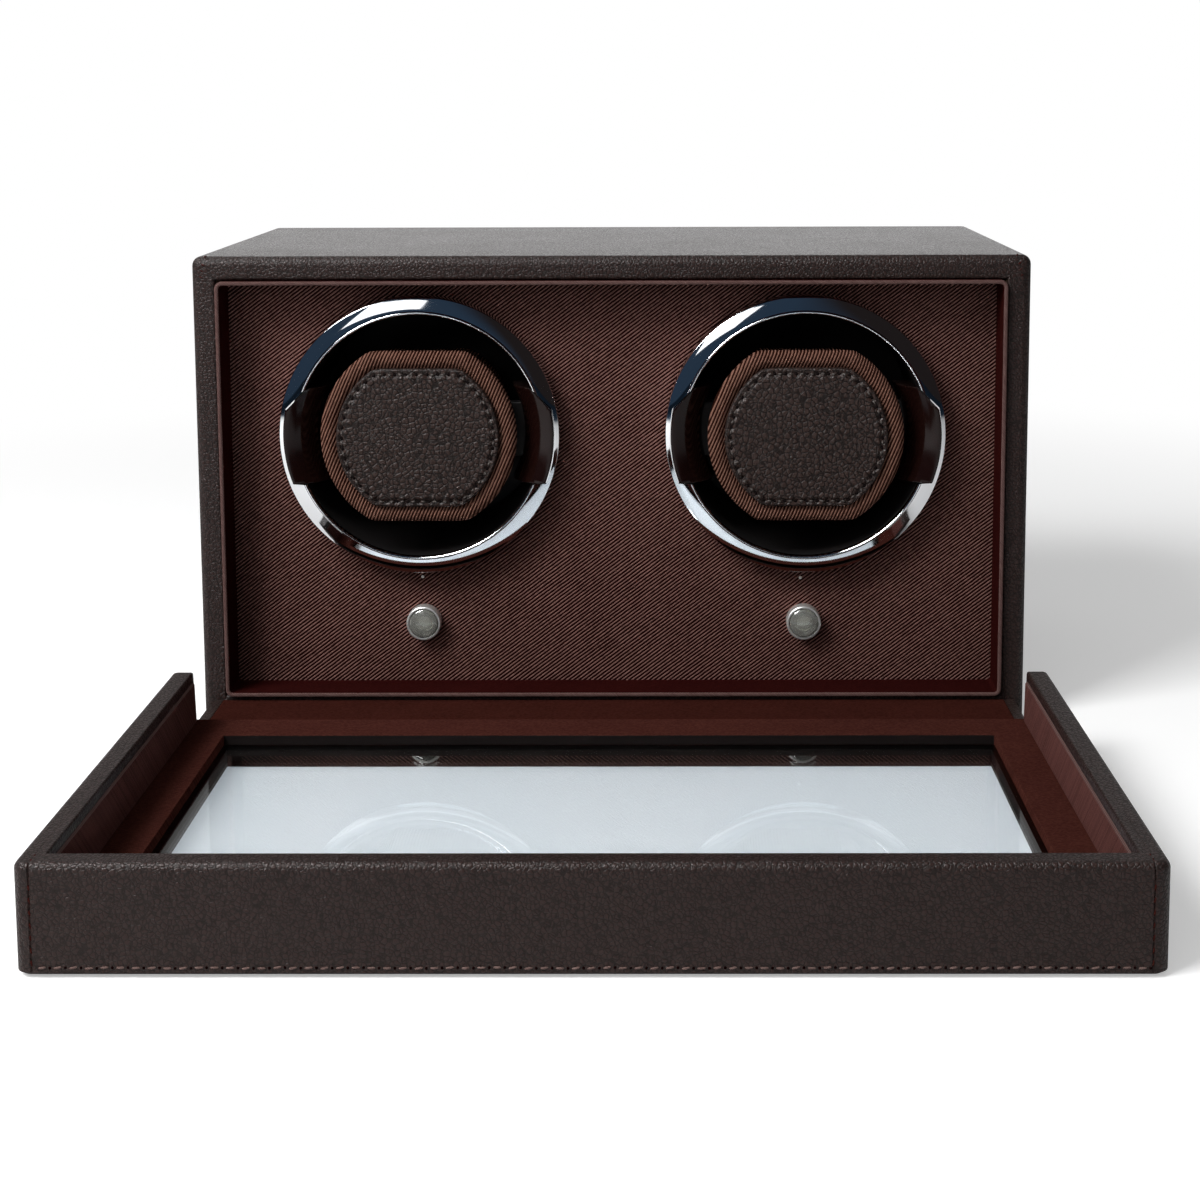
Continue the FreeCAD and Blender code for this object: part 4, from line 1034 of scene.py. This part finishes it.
def makeCushion(s):
    less = s["start"]
    piece = clippedDisc("cushion", s["half"] - less, s["high"] - less, s["corner"], s["front"] + less,
                        s["back"] - less, s["rimRound"])

    def drawnIn(point):
        # The body narrows behind its front rim
        across = math.hypot(point.x, point.z)
        less = s["drawIn"] * ease(point.y, s["drawFrom"], s["drawTo"]) * ease(across, 5.0, 25.0)
        share = 1 - less / max(across, 1.0)
        return Vector((point.x * share, point.y, point.z * share))

    puffUp(piece, s, drawnIn)
    path = outlinePath(s["seatHalf"], s["seatHigh"], s["seatCorner"], 0)
    for v in piece.data.vertices:
        x, y, z = v.co / mm
        if y < s["seat"] + 1.0 and abs(z) < s["seatHigh"] + 2 and abs(x) < s["seatHalf"] + 2:
            inside, _ = insideOutline(path, x, z)
            share = ease(inside, -0.35, s["seatEdge"])
            v.co.y = (y + (s["seat"] - y) * share) * mm
    work(piece, "SUBSURF", levels=1, render_levels=1)
    # The slot behind the rim lets the frame's bar through
    cutWith(piece, newBlock("slot", (-s["half"] - 3, s["slotFront"], -s["slotHigh"]),
                            (s["half"] + 3, s["slotBack"], s["slotHigh"])))
    smooth(piece, 60, weighted=False)
    for twin in forBothSides(piece, "Cushion", "cuff", finishes["cuff_twill"], "cuff_twill",
                             "cuff_cushion"):
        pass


def makeStitch(length, thick):
    # One stitch along x: a short thread that dips at both ends
    clearAll()
    bpy.ops.mesh.primitive_uv_sphere_add(segments=8, ring_count=6, radius=0.5 * mm,
                                         rotation=(0, math.pi / 2, 0))
    piece = settle("stitch")
    for v in piece.data.vertices:
        v.co.x *= length
        v.co.y *= thick
        v.co.z *= thick
        v.co.z -= thick * 0.9 * mm * (abs(v.co.x) / (length * 0.5 * mm)) ** 2
    return piece


def sewRow(name, places, length, thick):
    # A row of stitches. Each place is a point, the direction of the thread and the way out
    model = makeStitch(length, thick)
    row = []
    for point, along, out in places:
        along, out = Vector(along).normalized(), Vector(out).normalized()
        turn = Matrix((along, out.cross(along), out)).transposed().to_4x4()
        row.append(copyTo(model, "stitchCopy", point, turn))
    bpy.data.objects.remove(model)
    piece = joinAll(name, row)
    smooth(piece, 60, weighted=False)
    return piece


def makePad(s):
    less = s["start"]
    piece = clippedDisc("pad", s["half"] - less, s["high"] - less, s["corner"], s["front"] + less,
                        s["back"] - 0.05, s["rimRound"])
    puffUp(piece, s)
    path = outlinePath(s["half"], s["high"], s["corner"], s["seamInset"])
    walked = [0.0]
    for a, b in zip(path, path[1:] + path[:1]):
        walked.append(walked[-1] + math.dist(a, b))
    stitches = round(walked[-1] / s["stitchPitch"])
    pitch = walked[-1] / stitches
    for v in piece.data.vertices:
        x, y, z = v.co / mm
        if y > s["seamFrom"]:
            continue
        inside, where = insideOutline(path, x, z)
        if abs(inside) > s["seamReach"]:
            continue
        # Drawn in under each stitch, and swollen beside the seam between two stitches
        phase = walked[where] / pitch * 2 * math.pi
        pinch = 0.6 + 0.4 * math.cos(phase)
        dip = s["seamDeep"] * pinch * math.exp(-(inside / s["seamWide"]) ** 2)
        beside = math.exp(-((inside - s["swellInset"]) / s["swellWide"]) ** 2)
        v.co.y += (dip - s["swell"] * (1 - math.cos(phase)) * beside) * mm
    work(piece, "SUBSURF", levels=1, render_levels=1)
    smooth(piece, 60, weighted=False)
    for twin in forBothSides(piece, "CuffPad", "cuff", finishes["pad_leather"], "pad_leather", "cuff_pad"):
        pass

    def alongSeam(offset, depth):
        places = []
        for n in range(stitches):
            target = (n + offset) * pitch
            where = min(range(len(path)), key=lambda k: abs(walked[k] - target))
            a, b = path[where - 1], path[(where + 1) % len(path)]
            x, z = path[where]
            places.append(((x, depth, z), (b[0] - a[0], 0, b[1] - a[1]), (0, -1, 0)))
        return places

    row = sewRow("padStitches", alongSeam(1.0, s["front"] + s["seamDeep"] * 0.9), s["stitchLength"],
                 s["stitchThick"])
    forBothSides(row, "PadStitches", "cuff", darkThread, "pad_leather")
    # The swellings are pale: a painted highlight on the leather between stitches
    row = sewRow("padSwellings", alongSeam(0.5, s["front"] + s["bumpProud"]), s["bumpLength"],
                 s["bumpThick"])
    forBothSides(row, "PadSwellings", "cuff", padSwellingHighlight, "pad_leather")


makeCushion(cushionSizes)
makePad(padSizes)
print("cushions and pads done")


# Push buttons

lensSizes = {"radius": 4.6, "front": -56.2, "dome": 0.8, "bore": 2.7, "cap": 2.2, "collar": 5.6,
             "collarFront": -46.1, "rear": -45.1, "steps": 64}
bezelSizes = {"outer": 5.6, "front": -55.0, "back": -51.0, "sleeve": 5.2, "bore": 4.75, "sleeveRear": -46.3,
              "steps": 96}
buttonPlaces = {"left": (-62.0, 0, 29.0), "right": (62.0, 0, 29.0)}


def makeLens(s):
    rim = s["front"] + s["dome"]
    points = [(0.0, s["front"])]
    points += bow((0.0, s["front"]), (s["radius"] - 0.3, rim - 0.05), 0.22, 10)[1:]
    points += [(s["radius"], rim + 0.25), (s["radius"], s["collarFront"]), (s["collar"], s["collarFront"]),
               (s["collar"], s["rear"]), (s["bore"], s["rear"]), (s["bore"], rim + s["cap"] + 0.6),
               (s["bore"] - 0.6, rim + s["cap"]), (0.0, rim + s["cap"])]
    piece = newTurned("lens", points, s["steps"], closed=False)
    smooth(piece, 35, weighted=False)
    for side, shift in buttonPlaces.items():
        twin = copyTo(piece, side + "ButtonLens", shift)
        finish(twin, side + "_button", finishes["clear_acrylic"], "clear_acrylic", side + "_button_lens")
    bpy.data.objects.remove(piece)


def makeBezels(s):
    bore, outer, front = s["bore"], s["outer"], s["front"]
    points = [(bore, s["sleeveRear"]), (bore, front + 0.35), (bore + 0.12, front + 0.08),
              (bore + 0.4, front), (outer - 0.4, front), (outer - 0.1, front + 0.12), (outer, front + 0.4),
              (outer, s["back"]), (s["sleeve"], s["back"]), (s["sleeve"], s["sleeveRear"])]
    piece = newTurned("bezel", points, s["steps"])
    smooth(piece, 50, weighted=False)
    twins = [copyTo(piece, "bezel" + side, shift) for side, shift in buttonPlaces.items()]
    bpy.data.objects.remove(piece)
    finish(joinAll("buttonBezels", twins), "case", satinRim, "chrome", "button_bezels")


makeLens(lensSizes)
makeBezels(bezelSizes)
print("buttons done")


# Cover: three leather walls, lining, cloth round the window

hingeY = -90.5
coverSizes = {"half": 132.5, "far": 150.0, "low": 1.2, "high": 27.2, "farRound": 3.5, "topRound": 1.9,
              "innerHalf": 125.9, "innerFar": 143.4, "turnIn": 24.5, "skin": 1.2, "endLow": 6.6,
              "endHigh": 9.6, "edgeRound": 0.35, "inTopRound": 0.7, "seamPlace": 128.4,
              "seamWide": 0.35, "seamDeep": 0.35}


def coverBlock(name, half, near, far, low, high):
    # Near and far are measured from the hinge's line
    return newBlock(name, (-half, hingeY - far, low), (half, hingeY - near, high))


def slantEnds(piece, s, extra=0):
    # The walls stop short of the hinge behind a slanted line
    low = Vector((0, hingeY - s["endLow"] - extra, s["low"]))
    high = Vector((0, hingeY - s["endHigh"] - extra, s["high"] + 0.3))
    step = high - low
    sliceOff(piece, low, (0, step.z, -step.y))


def makeWallLeather(s):
    piece = coverBlock("coverWallLeather", s["half"], 0, s["far"], s["low"], s["high"])

    def alongTop(edge):
        m = middle(edge)
        up = [face.normal.z for face in edge.link_faces]
        return (m.z > s["high"] - 0.01 and m.y < hingeY - 1 and len(up) == 2
                and abs(up[0] - up[1]) > 0.5)

    openUp(piece)
    pick(piece, "EDGE", lambda edge: runs(edge, "z") and middle(edge).y < hingeY - 100)
    bevelPicked(s["farRound"], 6)
    pick(piece, "EDGE", alongTop)
    bevelPicked(s["topRound"], 6)
    for side in (-1, 1):
        for shift in (-s["seamWide"], 0, s["seamWide"]):
            pickAll()
            bpy.ops.mesh.bisect(plane_co=((side * s["seamPlace"] + shift) * mm, 0, 0), plane_no=(1, 0, 0))
    closeUp()
    cutWith(piece, coverBlock("inside", s["innerHalf"], -5, s["innerFar"], s["low"] - 2, s["high"] + 2))
    slantEnds(piece, s)
    openUp(piece)
    pick(piece, "EDGE", lambda edge: middle(edge).z > s["high"] - 0.01 and (
        abs(abs(middle(edge).x) - s["innerHalf"]) < 0.01
        or (abs(middle(edge).y - hingeY + s["innerFar"]) < 0.01
            and abs(middle(edge).x) < s["innerHalf"])))
    bevelPicked(s["inTopRound"], 4)
    pickAll()
    bpy.ops.mesh.bisect(plane_co=(0, 0, s["turnIn"] * mm), plane_no=(0, 0, 1))
    # The seam near each far corner is a shallow groove down the front and over the top
    pick(piece, "VERT", lambda v: abs(abs(v.co.x / mm) - s["seamPlace"]) < 0.01
         and (v.co.y / mm < hingeY - s["innerFar"] - 0.5))
    bpy.ops.transform.translate(value=(0, s["seamDeep"] * mm, -s["seamDeep"] * 0.5 * mm))
    # Open below, and inside below the turned in edge, where the lining begins
    pick(piece, "FACE", lambda face: face.normal.z < -0.9 or (
        middle(face).z < s["turnIn"] - 0.01 and abs(middle(face).x) < s["innerHalf"] + 0.01
        and middle(face).y > hingeY - s["innerFar"] - 0.01 and abs(face.normal.z) < 0.1
        and (abs(face.normal.x) > 0.9 or face.normal.y > 0.9)))
    bpy.ops.mesh.delete(type="FACE")
    closeUp()
    work(piece, "SOLIDIFY", thickness=s["skin"] * mm, offset=-1, use_even_offset=True)
    softenEdges(piece, s["edgeRound"], 2, 55)
    smooth(piece)
    finish(piece, "cover", finishes["brown_leather"], "brown_leather", "cover_wall_leather")


makeWallLeather(coverSizes)

liningSizes = {"half": 127.1, "inner": 125.2, "far": 144.6, "innerFar": 142.7, "low": 11.5, "high": 24.5,
               "endShort": 1.3, "edgeRound": 0.7}


def makeWallLining(s):
    piece = coverBlock("coverWallLining", s["half"], 0, s["far"], s["low"], s["high"])
    cutWith(piece, coverBlock("inside", s["inner"], -5, s["innerFar"], s["low"] - 2, s["high"] + 2))
    slantEnds(piece, coverSizes, s["endShort"])
    softenEdges(piece, s["edgeRound"], 4)
    smooth(piece)
    # The wall lining is a lighter copy of the lining cloth: painted light
    finish(piece, "cover", wallClothPaintedLight, "lining_cloth", "cover_wall_lining")
    # The top edge of the wall lining is a painted highlight line
    paintFaces(piece, lipClothPaintedHighlight, lambda place, out: place.z > s["high"] - 0.4 and out.z > 0.3
               and (abs(place.x) < s["inner"] + 0.7 or place.y > hingeY - s["innerFar"] - 0.7))


makeWallLining(liningSizes)

windowCloth = {"half": 127.1, "near": 6.5, "far": 144.6, "windowHalf": 115.0, "windowNear": 20.0,
               "windowFar": 132.5, "low": 10.5, "high": 11.5, "edgeRound": 0.4, "turnedTo": 8.3,
               "turned": 0.5}


def windowBlock(name, s, less, low, high):
    return coverBlock(name, s["windowHalf"] - less, s["windowNear"] + less, s["windowFar"] - less, low,
                      high)


def makeWindowCloth(s):
    # Cloth over the frame, turned down inside the window to the glass
    piece = coverBlock("coverFrameLining", s["half"], s["near"], s["far"], s["turnedTo"], s["high"])
    cutWith(piece, windowBlock("window", s, s["turned"], s["turnedTo"] - 2, s["high"] + 2))
    under = coverBlock("under", s["half"] + 2, s["near"] - 2, s["far"] + 2, s["turnedTo"] - 1, s["low"])
    cutWith(under, windowBlock("edge", s, 0, s["turnedTo"] - 2, s["low"] + 1))
    cutWith(piece, under)
    softenEdges(piece, s["edgeRound"], 4, 60)
    smooth(piece)
    finish(piece, "cover", finishes["lining_cloth"], "lining_cloth", "cover_frame_lining")
    # The reveal faces inside the window are near black: painted shade
    paintFaces(piece, windowRevealShade, lambda place, out: place.z < s["low"] + 0.45 and abs(out.y) > 0.7
               and abs(place.x) < s["windowHalf"] + 0.1
               and s["windowNear"] - 0.1 < hingeY - place.y < s["windowFar"] + 0.1)


makeWindowCloth(windowCloth)

hingeCloth = {"half": 126.0, "rear": -63.3, "front": -89.2, "low": 5.5, "high": 6.3, "rollDown": 2.6,
              "edgeRound": 0.35, "sag": 0.18, "sagWave": 17.0}


def makeHingeCloth(s):
    clearAll()
    bpy.ops.mesh.primitive_grid_add(x_subdivisions=60, y_subdivisions=8, size=1,
                                    location=(0, (s["rear"] + s["front"]) / 2 * mm, s["high"] * mm))
    bpy.context.object.scale = (2 * s["half"] * mm, (s["rear"] - s["front"]) * mm, 1)
    piece = settle("hingeCloth")
    for v in piece.data.vertices:
        across = (v.co.y / mm - s["rear"]) / (s["front"] - s["rear"])
        uneven = 0.6 + 0.4 * math.sin(v.co.x / mm / s["sagWave"])
        v.co.z -= s["sag"] * mm * math.sin(math.pi * across) * uneven
    openUp(piece)
    pick(piece, "EDGE", lambda edge: middle(edge).y < s["front"] + 0.01)
    bpy.ops.mesh.extrude_region_move(TRANSFORM_OT_translate={"value": (0, -0.02 * mm, -s["rollDown"] * mm)})
    closeUp()
    work(piece, "SOLIDIFY", thickness=(s["high"] - s["low"]) * mm, offset=-1)
    softenEdges(piece, s["edgeRound"], 3, 60)
    smooth(piece, 60)
    # The hinge cloth is a darker copy of the lining cloth: painted shade
    finish(piece, "case", hingeClothPaintedShade, "lining_cloth", "hinge_lining")


makeHingeCloth(hingeCloth)
print("cover and hinge done")


# Stitching on the cover and at the corners of the border

coverStitches = {"pitch": 3.6, "length": 2.7, "thick": 0.6, "height": 2.4, "proud": 0.08, "uneven": 0.1,
                 "aslant": 0.1, "unevenSlant": 0.12, "seamGap": 0.5, "end": 8.0, "holeLength": 1.1,
                 "holeThick": 0.75, "seamPitch": 3.0, "sunk": 0.2}


def makeCoverStitches(s, c):
    # Stitches and their holes low on the outside, and a seam up each far corner and over its top
    # The holes are dark stitch-shaped pieces: painted shade in each hole
    rows, holes, seams = [], [], []
    front = hingeY - c["far"] - s["proud"]
    count = int(2 * (c["seamPlace"] - s["seamGap"]) / s["pitch"])
    for n in range(count):
        x = (n - (count - 1) / 2) * s["pitch"]
        z = s["height"] + random.uniform(-s["uneven"], s["uneven"])
        slant = s["aslant"] + random.uniform(-s["unevenSlant"], s["unevenSlant"])
        rows.append(((x, front, z), (1, 0, slant), (0, -1, 0)))
        holes.append(((x + s["pitch"] / 2, front + 0.12, z), (1, 0, 0), (0, -1, 0)))
    for side in (-1, 1):
        for n in range(int((c["far"] - 2 * s["end"]) / s["pitch"])):
            y = hingeY - s["end"] - (n + 0.5) * s["pitch"]
            x = side * (c["half"] + s["proud"])
            rows.append(((x, y, s["height"]), (0, 1, s["aslant"]), (side, 0, 0)))
            holes.append(((x - side * s["sunk"], y + s["pitch"] / 2, s["height"]), (0, 1, 0), (side, 0, 0)))
        for n in range(int((c["high"] - 5) / s["seamPitch"])):
            z = 3.4 + n * s["seamPitch"]
            seams.append(((side * c["seamPlace"], front + 0.25, z), (0.25 * side, 0, 1), (0, -1, 0)))
        for back in (2.8, 5.4):
            place = (side * c["seamPlace"], hingeY - c["far"] + back, c["high"] - s["sunk"])
            seams.append((place, (0.2, 1, 0), (0, 0, 1)))
    for name, places, length, thick, thread in (
            ("coverStitches", rows, s["length"], s["thick"], stitchThread),
            ("coverStitchHoles", holes, s["holeLength"], s["holeThick"], holeShade),
            ("coverCornerSeams", seams, s["length"] * 0.8, s["thick"] * 0.8, seamThread)):
        finish(sewRow(name, places, length, thick), "cover", thread, "lining_cloth")


makeCoverStitches(coverStitches, coverSizes)


def makeBorderStitches(s, c):
    # Short stitches over the arris at both upper corners of the border
    places = []
    for side in (-1, 1):
        for along in (0.0, 1.9, 3.8):
            place = (side * (c["half"] - 4.0 + along * 0.2), c["front"] + 0.08, c["high"] - 2.6 - along)
            places.append((place, (side * 0.8, 0, 0.6), (0, -1, 0)))
        place = (side * (c["half"] - 4.4), c["front"] + 2.2, c["high"] + 0.03)
        places.append((place, (0.3, 1, 0), (0, 0, 1)))
    finish(sewRow("borderStitches", places, s["length"] * 0.75, s["thick"] * 0.8), "case", seamThread,
           "lining_cloth")


makeBorderStitches(coverStitches, caseSkinSizes)
print("stitches done")
